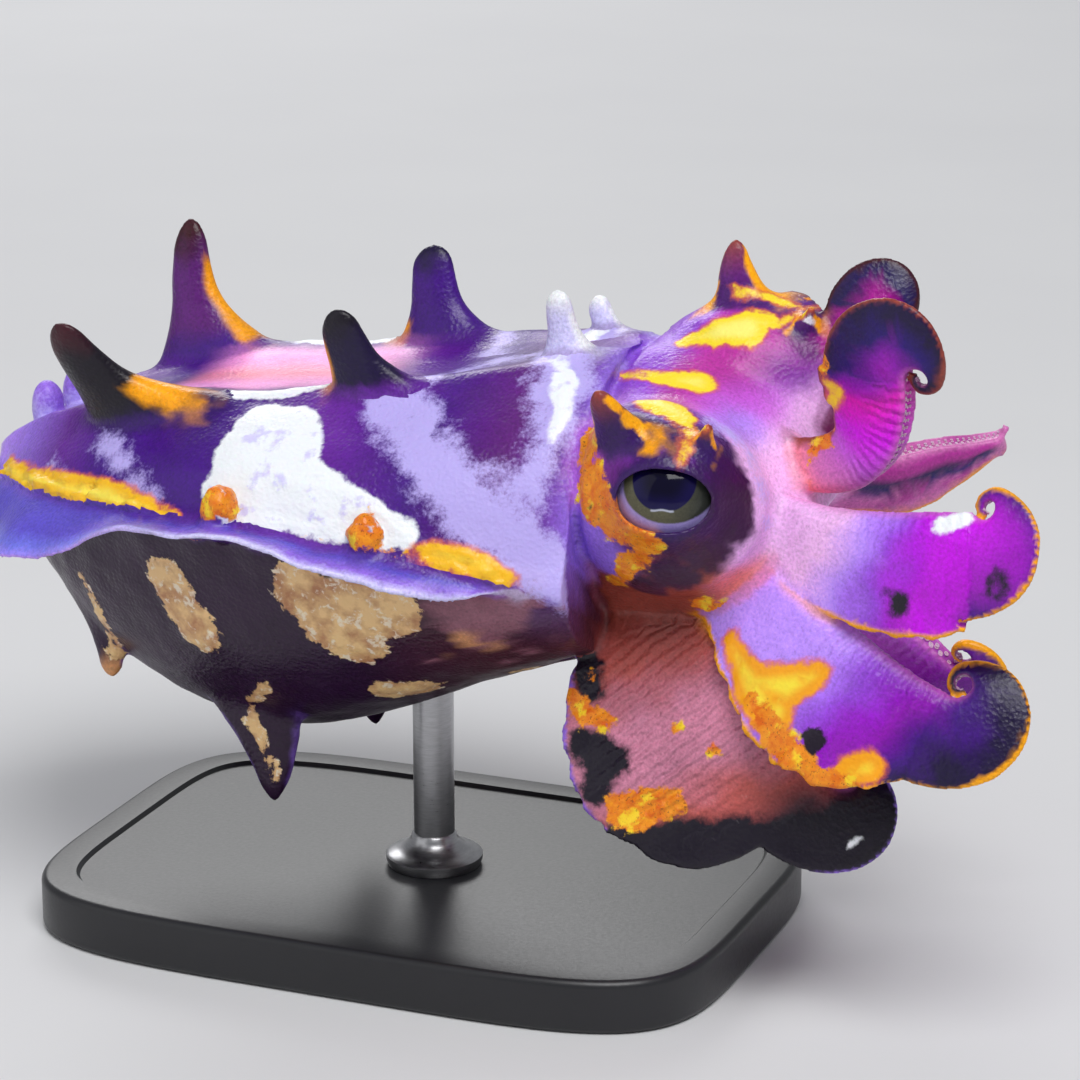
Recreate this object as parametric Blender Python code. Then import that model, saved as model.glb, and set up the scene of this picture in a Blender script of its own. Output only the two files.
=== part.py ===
# A life-size still model of a flamboyant cuttlefish hovering over a display stand.
# Sizes are in millimetres, in the animal's own frame: X toward the head, Y to its left,
# Z up, with the origin in the middle of the mantle's front margin.
import math
import random

import bmesh
import bpy
from mathutils import Matrix, Vector

MM = 0.001
GAP = 0.3
SEED = 11

# Where the animal's origin lies over the underside of the stand
ANIMAL_AT = Vector((12.0, 0.0, 44.0))

# Mantle stations, tail to front: x, half width, crest height, belly height
MANTLE = (
    (-63.6, 1.6, -2.6, -5.0),
    (-61.5, 5.0, -1.2, -8.0),
    (-57.0, 9.6, 1.2, -13.0),
    (-50.0, 14.2, 4.0, -20.2),
    (-40.0, 18.0, 6.6, -24.9),
    (-30.0, 20.0, 7.8, -25.8),
    (-20.0, 20.4, 9.2, -22.6),
    (-10.0, 19.8, 11.0, -18.2),
    (-3.0, 18.6, 12.4, -15.6),
    (0.0, 17.6, 12.6, -14.4),
)
MANTLE_STATIONS = 24
FIN_LINE_Z = (-4.4, -3.1, -2.2, -3.0, -5.4)
CREST_Y = (3.0, 8.6, 9.2, 8.8, 4.0)
CREST_HEIGHT = 1.5
CREST_SADDLE = 1.0
DORSAL_DIP = 1.0
FIN_RIDGE = 1.3
RING_DEGREES = (0, 5, 11, 21, 35, 48, 57, 65, 76, 90)
BELLY_DEGREES = (5, 15, 31, 50, 70, 90)

FIN_FROM_X = -3.5
FIN_TO_X = -63.0
FIN_WIDTH = (1.2, 2.8, 3.4, 3.6, 4.4, 6.2, 3.6)
FIN_THICKNESS = 0.6
FIN_DROOP_DEG = (40.0, 36.0, 10.0, -5.0, 0.0, 30.0, 48.0, 50.0)
FIN_SWAY_DEG = 9.0
FIN_RIPPLE = 1.1
FIN_WAVES = 4.5
FIN_STATIONS = 42
FIN_COLUMNS = 3

# Knobs on the mantle: x, distance from the middle plane, height, radius, rise
KNOBS = (
    (-57.5, 3.0, 1.6, 1.5, 1.0),
    (-31.2, 20.8, -1.2, 1.5, 1.1),
    (-17.0, 21.0, -2.0, 1.4, 0.8),
)

# Papillae of the back: base, tip, base width, tip width, base thickness, bend
PAPILLAE = (
    ("papilla_rear_right", (-42.6, -9.0, 2.2), (-50.0, -14.6, 12.8), 8.4, 3.6, 4.4, 1.0),
    ("papilla_rear_left", (-45.0, 9.0, 2.6), (-49.4, 11.0, 17.2), 8.0, 2.8, 4.2, 1.2),
    ("papilla_middle_right", (-20.0, -9.0, 6.0), (-23.8, -12.0, 15.9), 7.4, 3.2, 3.8, 0.7),
    ("papilla_middle_left", (-21.8, 9.0, 6.6), (-24.4, 10.6, 16.9), 6.8, 3.6, 3.8, 0.5),
    ("papilla_front_right", (-4.4, -4.2, 10.4), (-6.0, -4.6, 17.6), 3.8, 2.2, 3.0, 0.2),
    ("papilla_front_left", (-3.8, 5.4, 9.8), (-6.6, 6.6, 14.6), 3.6, 1.8, 3.0, 0.3),
)

# Flaps under the belly: base, tip, base width, tip width, base thickness, bend
FLAPS = (
    ("flap_front_right", (-33.6, -10.6, -19.0), (-30.9, -11.2, -30.9), 12.5, 1.6, 3.2, -0.8),
    ("flap_front_left", (-33.6, 10.6, -19.0), (-30.9, 11.2, -30.9), 12.5, 1.6, 3.2, -0.8),
    ("flap_rear_right", (-50.2, -8.6, -13.2), (-48.0, -9.6, -21.6), 6.4, 1.8, 2.8, -0.5),
    ("flap_rear_left", (-50.2, 8.6, -13.2), (-48.0, 9.6, -21.6), 6.4, 1.8, 2.8, -0.5),
)

# Head core: centre x, y, z, pitch in degrees, half width, half height
HEAD_CORE = (
    (-5.0, 0.0, -0.8, 0.0, 11.5, 10.4),
    (-1.0, 0.0, -0.4, 0.0, 13.4, 12.2),
    (3.5, 0.0, 0.0, 10.0, 13.6, 12.4),
    (8.0, -0.3, -0.8, 27.0, 12.4, 11.2),
    (11.2, -0.7, -3.0, 41.0, 10.8, 9.4),
    (13.6, -1.0, -5.0, 43.0, 8.8, 7.9),
)
HEAD_ROLL_DEG = 20.0
HEAD_YAW_DEG = -10.0
HEAD_PIVOT = (5.5, 0.0, 0.0)
DOME_AT = (7.5, 8.3, 4.5)
DOME_RADII = (9.8, 7.8, 9.0)
EYE_LOOK = (0.36, 0.78, 0.51)
EYE_AT = (10.0, 10.4, 7.1)
EYE_RADIUS = 5.3
LID_THICKNESS = 0.65
LID_OPENING = (4.0, 2.8)
LID_OPENING_DROP = 0.35

# Papillae of the head in its own frame: base, tip, base width, tip width, thickness, bend
HEAD_PAPILLAE = (
    ((7.6, 10.2, 10.6), (5.9, 12.5, 18.0), 7.0, 1.6, 3.6, 0.5),
    ((13.3, 9.3, 10.6), (14.2, 9.6, 14.0), 2.6, 1.2, 2.2, 0.0),
)
MOUTH_RADIUS = 4.3
LIP_RADIUS = 1.75
LIP_TUBE = 0.55
BEAK_LENGTH = 1.5
BEAK_RADIUS = 1.0

# Arms: oral edge from the crown out, hub of the curl, aboral direction,
# blade widths along the path, core half thickness, turns of the curl
ARMS = {
    "right_1": (((11.5, -2.4, 2.6), (17.6, -3.6, 2.2), (22.6, -5.0, 3.4), (25.7, -6.4, 6.6),
                 (26.8, -7.2, 10.4), (26.9, -7.5, 13.1)),
                (28.1, -7.6, 13.9), (-0.75, 0.05, 0.66), (4.4, 4.6, 5.8, 7.2, 8.4, 8.8), 2.3, 1.15),
    "right_2": (((9.5, -3.2, 0.4), (15.4, -5.4, 1.6), (20.9, -7.6, 1.6), (25.9, -9.2, 2.2),
                 (30.6, -10.2, 3.0), (34.0, -10.5, 3.4)),
                (35.0, -10.5, 4.0), (0.05, -0.42, -0.9), (4.6, 6.4, 8.8, 10.2, 10.6, 9.8), 2.4, 1.1),
    "right_3": (((8.5, -3.6, -1.6), (13.7, -6.0, -3.4), (19.2, -8.4, -5.9), (23.9, -10.2, -8.2),
                 (28.4, -11.6, -10.4), (32.5, -12.0, -12.2)),
                (33.4, -12.0, -11.0), (-0.5, -0.4, -0.76), (5.0, 8.0, 11.4, 13.2, 12.2, 8.5), 2.5, 1.2),
    "right_4": (((4.5, -3.0, -4.0), (7.6, -5.0, -7.0), (11.8, -7.0, -11.2), (16.2, -8.6, -15.7),
                 (19.6, -9.4, -19.8), (22.0, -9.8, -22.0)),
                (23.1, -9.8, -21.4), (-0.86, -0.3, -0.42), (8.4, 13.6, 18.3, 19.2, 16.4, 8.8), 2.5, 1.1),
    "left_1": (((11.8, 0.8, 2.2), (16.8, 1.4, 3.8), (19.4, 2.6, 7.0), (20.2, 4.2, 10.8),
                (20.3, 5.0, 13.8), (20.6, 5.4, 15.4)),
               (21.8, 5.4, 15.8), (-0.75, 0.05, 0.66), (4.6, 5.0, 5.6, 5.8, 5.8, 5.4), 2.0, 1.1),
    "left_2": (((11.0, 2.4, 0.6), (16.4, 3.8, 1.6), (20.8, 6.0, 2.8), (24.2, 8.2, 3.6),
                (27.0, 9.8, 3.9), (29.3, 11.2, 4.2)),
               (28.9, 11.3, 5.5), (0.1, 0.3, -0.95), (3.6, 4.6, 6.2, 6.0, 4.2, 2.3), 1.9, 0.16),
    "left_3": (((9.0, 3.0, -2.4), (13.6, 4.4, -5.0), (17.6, 6.0, -8.0), (21.0, 7.6, -11.2),
                (24.0, 8.8, -14.2), (26.6, 9.4, -16.6)),
               (27.6, 9.4, -15.6), (-0.4, 0.3, -0.86), (4.6, 5.6, 7.0, 7.4, 6.8, 5.8), 2.1, 1.1),
    "left_4": (((4.5, 2.6, -4.4), (7.4, 4.4, -7.8), (10.4, 6.6, -11.4), (13.4, 8.6, -14.8),
                (16.4, 10.0, -17.8), (18.8, 10.8, -19.8)),
               (19.8, 10.8, -18.8), (-0.86, 0.3, -0.42), (5.4, 7.4, 9.6, 10.4, 9.0, 6.6), 2.2, 1.1),
}
ARM_STATIONS = 15
CURL_STATIONS = 12
ARM_CUTS = (7, 14)
CURL_END_RADIUS = 0.42
CURL_WIDTHS = (1.0, 0.76, 0.25, 0.12, 0.09, 0.06)
KEEL_HALF = 0.3
TIP_WIDTH = 0.55
TIP_CORE = 0.32

# Suckers stand in two rows on the oral face, from the crown to the tip
SUCKER_RADIUS = (0.86, 0.80, 0.62, 0.40, 0.27)
SUCKER_PITCH = 1.55
SUCKER_SPACE = 0.16
SUCKER_HEIGHT = 0.55
SUCKER_CUP = 0.5
SUCKER_SIDES = 6
SUCKER_FIRST = 0.16
SUCKER_LAST = 0.97
SUCKER_ROOT = 0.35

FUNNEL_FROM = (-2.5, 0.0, -12.2)
FUNNEL_TO = (8.2, -0.2, -15.2)
FUNNEL_RADII = (4.4, 4.2, 3.4, 2.5)
FUNNEL_HOLE = 1.5
FUNNEL_HOLE_DEPTH = 4.5

BASE_SIZE = (66.0, 46.0, 5.0)
BASE_AT_X = -21.0
ROD_RADIUS = 1.9
ROD_FOOT_RADIUS = 4.5
ROD_FOOT_HEIGHT = 2.5
ROD_AT = (-20.0, 0.0)
ROD_TOP_Z = -18.0


def to_world(point):
    """Turn a point of the animal's frame, in millimetres, into metres."""
    return (Vector(point) + ANIMAL_AT) * MM


def clear_scene():
    for item in list(bpy.data.objects):
        bpy.data.objects.remove(item, do_unlink=True)


def material(name, color, roughness, metallic=0.0):
    """Return the named Principled material, made on first use."""
    found = bpy.data.materials.get(name)
    if found:
        return found
    made = bpy.data.materials.new(name)
    made.use_nodes = True
    shader = made.node_tree.nodes["Principled BSDF"]
    shader.inputs["Base Color"].default_value = (*color, 1.0)
    shader.inputs["Roughness"].default_value = roughness
    shader.inputs["Metallic"].default_value = metallic
    return made


def mantle_skin():
    return material("mantle_skin", (0.16, 0.08, 0.22), 0.42)


def head_skin():
    return material("head_skin", (0.42, 0.16, 0.30), 0.40)


def arm_skin():
    return material("arm_skin", (0.44, 0.13, 0.42), 0.38)


def papilla_skin():
    return material("papilla_skin", (0.10, 0.03, 0.09), 0.45)


def white_skin():
    return material("white_skin", (0.72, 0.68, 0.80), 0.42)


def fin_skin():
    return material("fin_skin", (0.34, 0.36, 0.66), 0.30)


def belly_skin():
    return material("belly_skin", (0.07, 0.04, 0.03), 0.45)


def mouth_skin():
    return material("mouth_skin", (0.66, 0.42, 0.50), 0.40)


def eye_material():
    return material("eye_gloss", (0.02, 0.02, 0.05), 0.08)


def base_material():
    return material("stand_black", (0.02, 0.02, 0.022), 0.35)


def rod_material():
    return material("stand_steel", (0.55, 0.56, 0.58), 0.28, 1.0)


def new_object(name, vertices, faces, mat):
    """Make one closed mesh object from points in the animal's frame."""
    mesh = bpy.data.meshes.new(name)
    mesh.from_pydata([to_world(v) for v in vertices], [], faces)
    body = bmesh.new()
    body.from_mesh(mesh)
    bmesh.ops.recalc_face_normals(body, faces=body.faces)
    if body.calc_volume(signed=True) < 0.0:
        bmesh.ops.reverse_faces(body, faces=body.faces)
    bmesh.ops.triangulate(body, faces=[f for f in body.faces if len(f.verts) > 4])
    body.to_mesh(mesh)
    body.free()
    mesh.materials.append(mat)
    mesh.shade_smooth()
    made = bpy.data.objects.new(name, mesh)
    bpy.context.scene.collection.objects.link(made)
    return made


def loft(name, rings, mat):
    """Join equal rings of points into one closed body with fan caps."""
    count = len(rings[0])
    vertices = [p for ring in rings for p in ring]
    faces = []
    for row in range(len(rings) - 1):
        for col in range(count):
            a = row * count + col
            b = row * count + (col + 1) % count
            faces.append((a, b, b + count, a + count))
    for ring, start in ((rings[0], 0), (rings[-1], (len(rings) - 1) * count)):
        middle = sum((Vector(p) for p in ring), Vector()) / count
        vertices.append(middle)
        hub = len(vertices) - 1
        for col in range(count):
            faces.append((hub, start + col, start + (col + 1) % count))
    return new_object(name, vertices, faces, mat)


def curve_value(values, t):
    """Smoothly read equally spaced values at t between 0 and 1."""
    last = len(values) - 1
    place = min(max(t, 0.0), 1.0) * last
    k = min(int(place), last - 1)
    u = place - k
    p1 = values[k]
    p2 = values[k + 1]
    p0 = values[k - 1] if k > 0 else p1 * 2 - p2
    p3 = values[k + 2] if k + 2 <= last else p2 * 2 - p1
    return 0.5 * (p1 * 2 + (p2 - p0) * u + (p0 * 2 - p1 * 5 + p2 * 4 - p3) * u * u
                  + (p1 * 3 - p0 - p2 * 3 + p3) * u * u * u)


def station_value(stations, x, column):
    """Read one column of an X-ordered station table, eased between rows."""
    for low, high in zip(stations, stations[1:]):
        if x <= high[0]:
            break
    k = stations.index(low)
    before = stations[max(k - 1, 0)]
    after = stations[min(k + 2, len(stations) - 1)]
    span = high[0] - low[0]
    u = (x - low[0]) / span
    slope_low = (high[column] - before[column]) / max(high[0] - before[0], 1e-6) * span
    slope_high = (after[column] - low[column]) / max(after[0] - low[0], 1e-6) * span
    h1 = 2 * u ** 3 - 3 * u ** 2 + 1
    h2 = u ** 3 - 2 * u ** 2 + u
    h3 = 3 * u ** 2 - 2 * u ** 3
    h4 = u ** 3 - u ** 2
    return h1 * low[column] + h2 * slope_low + h3 * high[column] + h4 * slope_high


def mantle_along(x):
    """Share of the mantle's length at x, 0 at the tail and 1 at the front."""
    return (x - MANTLE[0][0]) / (MANTLE[-1][0] - MANTLE[0][0])


def bump(value, centre, spread):
    return math.exp(-((value - centre) / spread) ** 2)


def mantle_point(x, degrees, grow=0.0):
    """One point of the mantle's skin; degrees run round from the right side over the back."""
    t = mantle_along(x)
    half = station_value(MANTLE, x, 1)
    top = station_value(MANTLE, x, 2)
    belly = station_value(MANTLE, x, 3)
    side = curve_value(FIN_LINE_Z, t)
    side = min(max(side, belly + 1.0), top - 1.0)
    angle = math.radians(degrees)
    c = math.cos(angle)
    s = math.sin(angle)
    width = half * math.copysign(abs(c) ** 0.92, c)
    if s >= 0.0:
        height = side + (top - side) * s ** 0.95
        crest = curve_value(CREST_Y, t) / max(half, 4.0)
        rise = bump(abs(c), crest, 0.13) * (CREST_HEIGHT - CREST_SADDLE * bump(x, -32.0, 7.0))
        dip = bump(c, 0.0, 0.30) * DORSAL_DIP
        fade = math.sin(math.pi * min(max(t, 0.0), 1.0)) ** 0.5
        height += (rise - dip) * fade
    else:
        height = side - (side - belly) * abs(s) ** 0.86
        width *= 1.0 - 0.05 * abs(s)
    knobs = 0.72 + 0.28 * math.cos(x * 0.72) * math.cos(x * 0.23 + 0.6)
    ridge = FIN_RIDGE * knobs * bump(degrees if degrees <= 180 else degrees - 360, 0.0, 6.5)
    ridge += FIN_RIDGE * knobs * bump(degrees, 180.0, 6.5)
    ridge *= min(1.0, half / 9.0)
    out = Vector((0.0, -c, s))
    point = Vector((x, -width, height)) + Vector((0.0, -math.copysign(ridge, c), 0.0))
    return point + out * grow


def ring_angles():
    upper = list(RING_DEGREES) + [180 - d for d in reversed(RING_DEGREES[:-1])]
    lower = [180 + d for d in BELLY_DEGREES] + [360 - d for d in reversed(BELLY_DEGREES[:-1])]
    return upper + lower


def mantle_rings(grow=0.0):
    rings = []
    first = MANTLE[0][0]
    last = MANTLE[-1][0]
    for k in range(MANTLE_STATIONS):
        t = k / (MANTLE_STATIONS - 1)
        x = first + (last - first) * (0.5 - 0.5 * math.cos(math.pi * t * 0.92)) / (
            0.5 - 0.5 * math.cos(math.pi * 0.92))
        rings.append([mantle_point(x, d, grow) for d in ring_angles()])
    if grow:
        rings[0] = [p + Vector((-grow, 0, 0)) for p in rings[0]]
        rings[-1] = [p + Vector((grow, 0, 0)) for p in rings[-1]]
    return rings


def remove(item):
    mesh = item.data
    bpy.data.objects.remove(item, do_unlink=True)
    bpy.data.meshes.remove(mesh)


def boolean(target, tool, operation, keep_tool=False, solver="MANIFOLD"):
    """Apply one Boolean of target with tool."""
    step = target.modifiers.new("cut", "BOOLEAN")
    step.operation = operation
    step.object = tool
    step.solver = solver
    bpy.context.view_layer.objects.active = target
    bpy.ops.object.modifier_apply(modifier=step.name)
    if not keep_tool:
        remove(tool)
    return target


def keep_largest(target):
    """Drop every loose piece but the one with the most faces."""
    body = bmesh.new()
    body.from_mesh(target.data)
    left = set(body.faces)
    best = []
    while left:
        seed = left.pop()
        piece = [seed]
        stack = [seed]
        while stack:
            face = stack.pop()
            for edge in face.edges:
                for other in edge.link_faces:
                    if other in left:
                        left.discard(other)
                        piece.append(other)
                        stack.append(other)
        if len(piece) > len(best):
            best = piece
    keep = set(best)
    bmesh.ops.delete(body, geom=[f for f in body.faces if f not in keep], context="FACES")
    bmesh.ops.triangulate(body, faces=[f for f in body.faces if len(f.verts) > 4])
    body.to_mesh(target.data)
    body.free()
    target.data.shade_smooth()
    return target


def ellipsoid(name, centre, radii, mat, turn=None, columns=18, rows=10):
    """A ball stretched along its three axes."""
    turn = turn or Matrix.Identity(3)
    vertices = []
    for row in range(1, rows):
        a = math.pi * row / rows
        for col in range(columns):
            b = 2 * math.pi * col / columns
            local = Vector((radii[0] * math.sin(a) * math.cos(b),
                            radii[1] * math.sin(a) * math.sin(b), radii[2] * math.cos(a)))
            vertices.append(Vector(centre) + turn @ local)
    faces = []
    for row in range(rows - 2):
        for col in range(columns):
            p = row * columns + col
            q = row * columns + (col + 1) % columns
            faces.append((p, q, q + columns, p + columns))
    top = len(vertices)
    vertices.append(Vector(centre) + turn @ Vector((0, 0, radii[2])))
    vertices.append(Vector(centre) + turn @ Vector((0, 0, -radii[2])))
    start = (rows - 2) * columns
    for col in range(columns):
        faces.append((top, (col + 1) % columns, col))
        faces.append((top + 1, start + col, start + (col + 1) % columns))
    return new_object(name, vertices, faces, mat)


def head_turn():
    """How the head is turned toward the right and rolled on the neck."""
    yaw = Matrix.Rotation(math.radians(HEAD_YAW_DEG), 3, "Z")
    return yaw @ Matrix.Rotation(math.radians(HEAD_ROLL_DEG), 3, "X")


def on_head(point, side=1):
    """A point of the head's own frame on its right (-1) or left (1) side."""
    pivot = Vector(HEAD_PIVOT)
    return pivot + head_turn() @ (Vector((point[0], point[1] * side, point[2])) - pivot)


def head_rings(grow=0.0, columns=24, steps=10):
    rings = []
    for k in range(steps):
        t = k / (steps - 1)
        row = [curve_value([s[c] for s in HEAD_CORE], t) for c in range(6)]
        pitch = Matrix.Rotation(math.radians(row[3]), 3, "Y")
        half_w = row[4] + grow
        half_h = row[5] + grow
        ring = []
        for col in range(columns):
            a = 2 * math.pi * col / columns
            local = Vector((0.0, half_w * math.cos(a), half_h * math.sin(a)))
            ring.append(on_head(Vector(row[:3]) + pitch @ local))
        rings.append(ring)
    ahead = head_ahead()
    if grow:
        rings[0] = [p - Vector((grow, 0, 0)) for p in rings[0]]
        rings[-1] = [p + ahead * grow for p in rings[-1]]
    return rings


def head_ahead():
    """The way the crown of arms faces."""
    pitch = Matrix.Rotation(math.radians(HEAD_CORE[-1][3]), 3, "Y")
    return head_turn() @ (pitch @ Vector((1, 0, 0)))


def flap_rings(base, tip, widths, thickness, bend, grow=0.0, columns=8, steps=8, flare=0.35):
    """Rings of a flattened papilla from base to rounded tip, broad side toward the flank."""
    base = Vector(base)
    tip = Vector(tip)
    axis = (tip - base).normalized()
    length = (tip - base).length
    broad = (Vector((1, 0, 0)) - axis * axis.x).normalized()
    thin = axis.cross(broad).normalized()
    rings = []
    for k in range(steps):
        t = (k / (steps - 1)) ** 0.85
        width = widths[0] + (widths[1] - widths[0]) * t ** 0.8
        width += widths[0] * flare * max(0.0, 1 - t * 2.6) ** 2
        depth = thickness * (1 - t) + 1.3 * t
        end = math.sqrt(max(0.0, 1 - max(0.0, (t - 0.82) / 0.18) ** 2))
        end = max(end, 0.3)
        centre = base + axis * (length * t) - broad * (bend * math.sin(math.pi * t))
        ring = []
        for col in range(columns):
            a = 2 * math.pi * col / columns
            ring.append(centre + broad * (math.cos(a) * (width / 2 * end + grow))
                        + thin * (math.sin(a) * (depth / 2 * end + grow)))
        rings.append(ring)
    if grow:
        rings[-1] = [p + axis * grow for p in rings[-1]]
    return rings


def arm_frame(spec):
    """Stations of one arm: point on the oral edge, tangent, aboral direction, width, core."""
    path, hub, aboral, widths, core, turns = spec
    path = [Vector(p) for p in path]
    hub = Vector(hub)
    run = (path[-1] - path[1]).normalized()
    normal = run.cross(Vector(aboral)).normalized()
    stations = []
    for k in range(ARM_STATIONS):
        t = k / (ARM_STATIONS - 1)
        here = curve_value(path, t)
        ahead = (curve_value(path, t + 0.01) - curve_value(path, t - 0.01)) if 0 < t < 1 else (
            curve_value(path, min(t + 0.01, 1)) - curve_value(path, max(t - 0.01, 0)))
        thick = core * (1.0 - 0.42 * t)
        stations.append([here, ahead.normalized(), curve_value(widths, t), thick])
    start = path[-1] - hub
    start -= normal * start.dot(normal)
    radius = start.length
    a_axis = start.normalized()
    b_axis = normal.cross(a_axis)
    if b_axis.dot(stations[-1][1]) < 0:
        b_axis = -b_axis
    sweep = turns * 2 * math.pi
    last_radius = max(CURL_END_RADIUS, radius * (1.0 - turns))
    fade = math.log(last_radius / radius) / sweep
    base = path[-1] - start
    for k in range(1, CURL_STATIONS + 1):
        u = k / CURL_STATIONS
        turn = sweep * u
        r = radius * math.exp(fade * turn)
        direction = a_axis * math.cos(turn) + b_axis * math.sin(turn)
        travel = -a_axis * math.sin(turn) + b_axis * math.cos(turn) + direction * fade
        width = max(widths[-1] * curve_value(CURL_WIDTHS, u), TIP_WIDTH)
        thick = max(core * 0.58 * (1 - u * 0.95), TIP_CORE)
        stations.append([base + direction * r, travel.normalized(), width, thick])
    result = []
    for here, tangent, width, thick in stations:
        out = tangent.cross(normal).normalized()
        if out.dot(Vector(aboral)) < 0 and len(result) < 4:
            out = -out
        if result and out.dot(result[-1][2]) < 0:
            out = -out
        result.append((here, tangent, out, width, thick))
    return result, normal


BLADE_PROFILE = ((0.0, 0.68), (0.16, 1.0), (0.52, 0.60), (1.0, 0.0))


def arm_ring(station, normal, grow=0.0, shift=0.0, oral=0.0):
    """The closed section of the blade at one station."""
    here, tangent, out, width, thick = station
    ring = []
    keel = min(KEEL_HALF, thick)
    for side in (1, -1):
        rows = BLADE_PROFILE if side == 1 else reversed(BLADE_PROFILE)
        for across, level in rows:
            half = keel + (thick - keel) * level + grow
            along = across * (width + 2 * grow) - grow
            if across < 0.2:
                along -= oral
            ring.append(here + tangent * shift + out * along + normal * (side * half))
    return ring


def arm_piece(name, stations, normal, grow=0.0, shift=0.0, oral=0.0):
    rings = [arm_ring(s, normal, grow, 0.0, oral) for s in stations]
    if shift:
        rings[0] = arm_ring(stations[0], normal, grow, shift)
    return loft(name, rings, arm_skin())


def make_mantle():
    body = loft("mantle", mantle_rings(), mantle_skin())
    for spec in KNOBS:
        for side in (-1, 1):
            boolean(body, knob(spec, side), "UNION")
    return keep_clear(body, head_tools() + [funnel_body("tool", GAP)])


def funnel_body(name, grow=0.0):
    start = Vector(FUNNEL_FROM)
    end = Vector(FUNNEL_TO)
    axis = (end - start).normalized()
    side = axis.cross(Vector((0, 1, 0))).normalized()
    up = side.cross(axis)
    rings = []
    for k in range(7):
        t = k / 6
        radius = curve_value(FUNNEL_RADII, t) + grow
        centre = start.lerp(end, t)
        rings.append([centre + side * (radius * math.cos(2 * math.pi * c / 14))
                      + up * (1.15 * radius * math.sin(2 * math.pi * c / 14)) for c in range(14)])
    if grow:
        rings[0] = [p - axis * grow for p in rings[0]]
        rings[-1] = [p + axis * grow for p in rings[-1]]
    return loft(name, rings, mouth_skin())


def make_funnel():
    body = funnel_body("funnel")
    end = Vector(FUNNEL_TO)
    axis = (end - Vector(FUNNEL_FROM)).normalized()
    side = axis.cross(Vector((0, 1, 0))).normalized()
    up = side.cross(axis)
    rings = []
    for k in range(2):
        along = -FUNNEL_HOLE_DEPTH + k * (FUNNEL_HOLE_DEPTH + 1.0)
        rings.append([end + axis * along + side * (FUNNEL_HOLE * math.cos(2 * math.pi * c / 10))
                      + up * (1.15 * FUNNEL_HOLE * math.sin(2 * math.pi * c / 10))
                      for c in range(10)])
    boolean(body, loft("tool", rings, mouth_skin()), "DIFFERENCE")
    return keep_clear(body, head_tools())


def eye_turn(side):
    """Turn that carries Z onto the outward look of one eye."""
    look = head_turn() @ Vector((EYE_LOOK[0], EYE_LOOK[1] * side, EYE_LOOK[2])).normalized()
    return look.to_track_quat("Z", "Y").to_matrix(), look


def make_head():
    body = loft("head", head_rings(), head_skin())
    for side in (-1, 1):
        boolean(body, dome(side), "UNION")
        for spec in HEAD_PAPILLAE:
            boolean(body, head_papilla(spec, side), "UNION")
        boolean(body, lids(side), "UNION")
    for side in (-1, 1):
        turn, look = eye_turn(side)
        centre = on_head(EYE_AT, side)
        ball = ellipsoid("tool", centre, (EYE_RADIUS + GAP,) * 3, head_skin(), turn, 16, 10)
        boolean(body, ball, "DIFFERENCE")
    return keep_largest(body)


def dome(side, grow=0.0):
    radii = [r + grow for r in DOME_RADII]
    return ellipsoid("tool", on_head(DOME_AT, side), radii, head_skin(), head_turn(), 20, 10)


def head_tools():
    """The head's main forms, grown by the gap, to keep other nodes clear of."""
    tools = [loft("tool", head_rings(GAP), head_skin()), dome(-1, GAP), dome(1, GAP)]
    tools += [lid_ball(-1, GAP), lid_ball(1, GAP)]
    return tools + [head_papilla(spec, side, GAP) for side in (-1, 1) for spec in HEAD_PAPILLAE]


def mantle_tools():
    """The mantle's forms grown by the gap."""
    tools = [loft("tool", mantle_rings(GAP), mantle_skin())]
    return tools + [knob(spec, side, GAP) for spec in KNOBS for side in (-1, 1)]


def knob(spec, side, grow=0.0):
    x, y, z, radius, rise = spec
    radii = (radius + grow, radius + grow, radius + rise + grow)
    return ellipsoid("tool", (x, y * side, z), radii, mantle_skin(), None, 8, 4)


def keep_clear(piece, tools):
    """Cut every tool that comes near out of the piece, and drop loose ends."""
    for tool in tools:
        if near(piece, tool):
            boolean(piece, tool, "DIFFERENCE")
        else:
            remove(tool)
    return keep_largest(piece)


def head_papilla(spec, side, grow=0.0):
    base, tip, wide, narrow, thick, bend = spec
    rings = flap_rings(on_head(base, side), on_head(tip, side), (wide, narrow), thick, bend, grow,
                       steps=7)
    return loft("tool", rings, head_skin())


def lid_ball(side, grow=0.0):
    """The bulge of both lids of one eye, before their opening is cut."""
    turn, look = eye_turn(side)
    radius = EYE_RADIUS + GAP + LID_THICKNESS + grow
    return ellipsoid("tool", on_head(EYE_AT, side), (radius,) * 3, head_skin(), turn, 18, 10)


def lids(side):
    """Upper and lower lid with the long opening between them."""
    turn, look = eye_turn(side)
    centre = on_head(EYE_AT, side)
    rings = []
    for along in (EYE_RADIUS * 0.3, EYE_RADIUS * 1.6):
        rings.append([centre + look * along + turn @ Vector(
            (LID_OPENING[0] * math.cos(math.pi * c / 9),
             LID_OPENING[1] * math.sin(math.pi * c / 9) - LID_OPENING_DROP, 0.0)) for c in range(18)])
    return boolean(lid_ball(side), loft("tool", rings, head_skin()), "DIFFERENCE")


def make_eye(name, side):
    turn, look = eye_turn(side)
    return ellipsoid(name, on_head(EYE_AT, side), (EYE_RADIUS,) * 3, eye_material(), turn, 16, 9)


def make_papilla(spec, mat, flare=0.35):
    name, base, tip, wide, narrow, thick, bend = spec
    body = loft(name, flap_rings(base, tip, (wide, narrow), thick, bend, flare=flare), mat)
    return keep_clear(body, mantle_tools() + head_tools())


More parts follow.
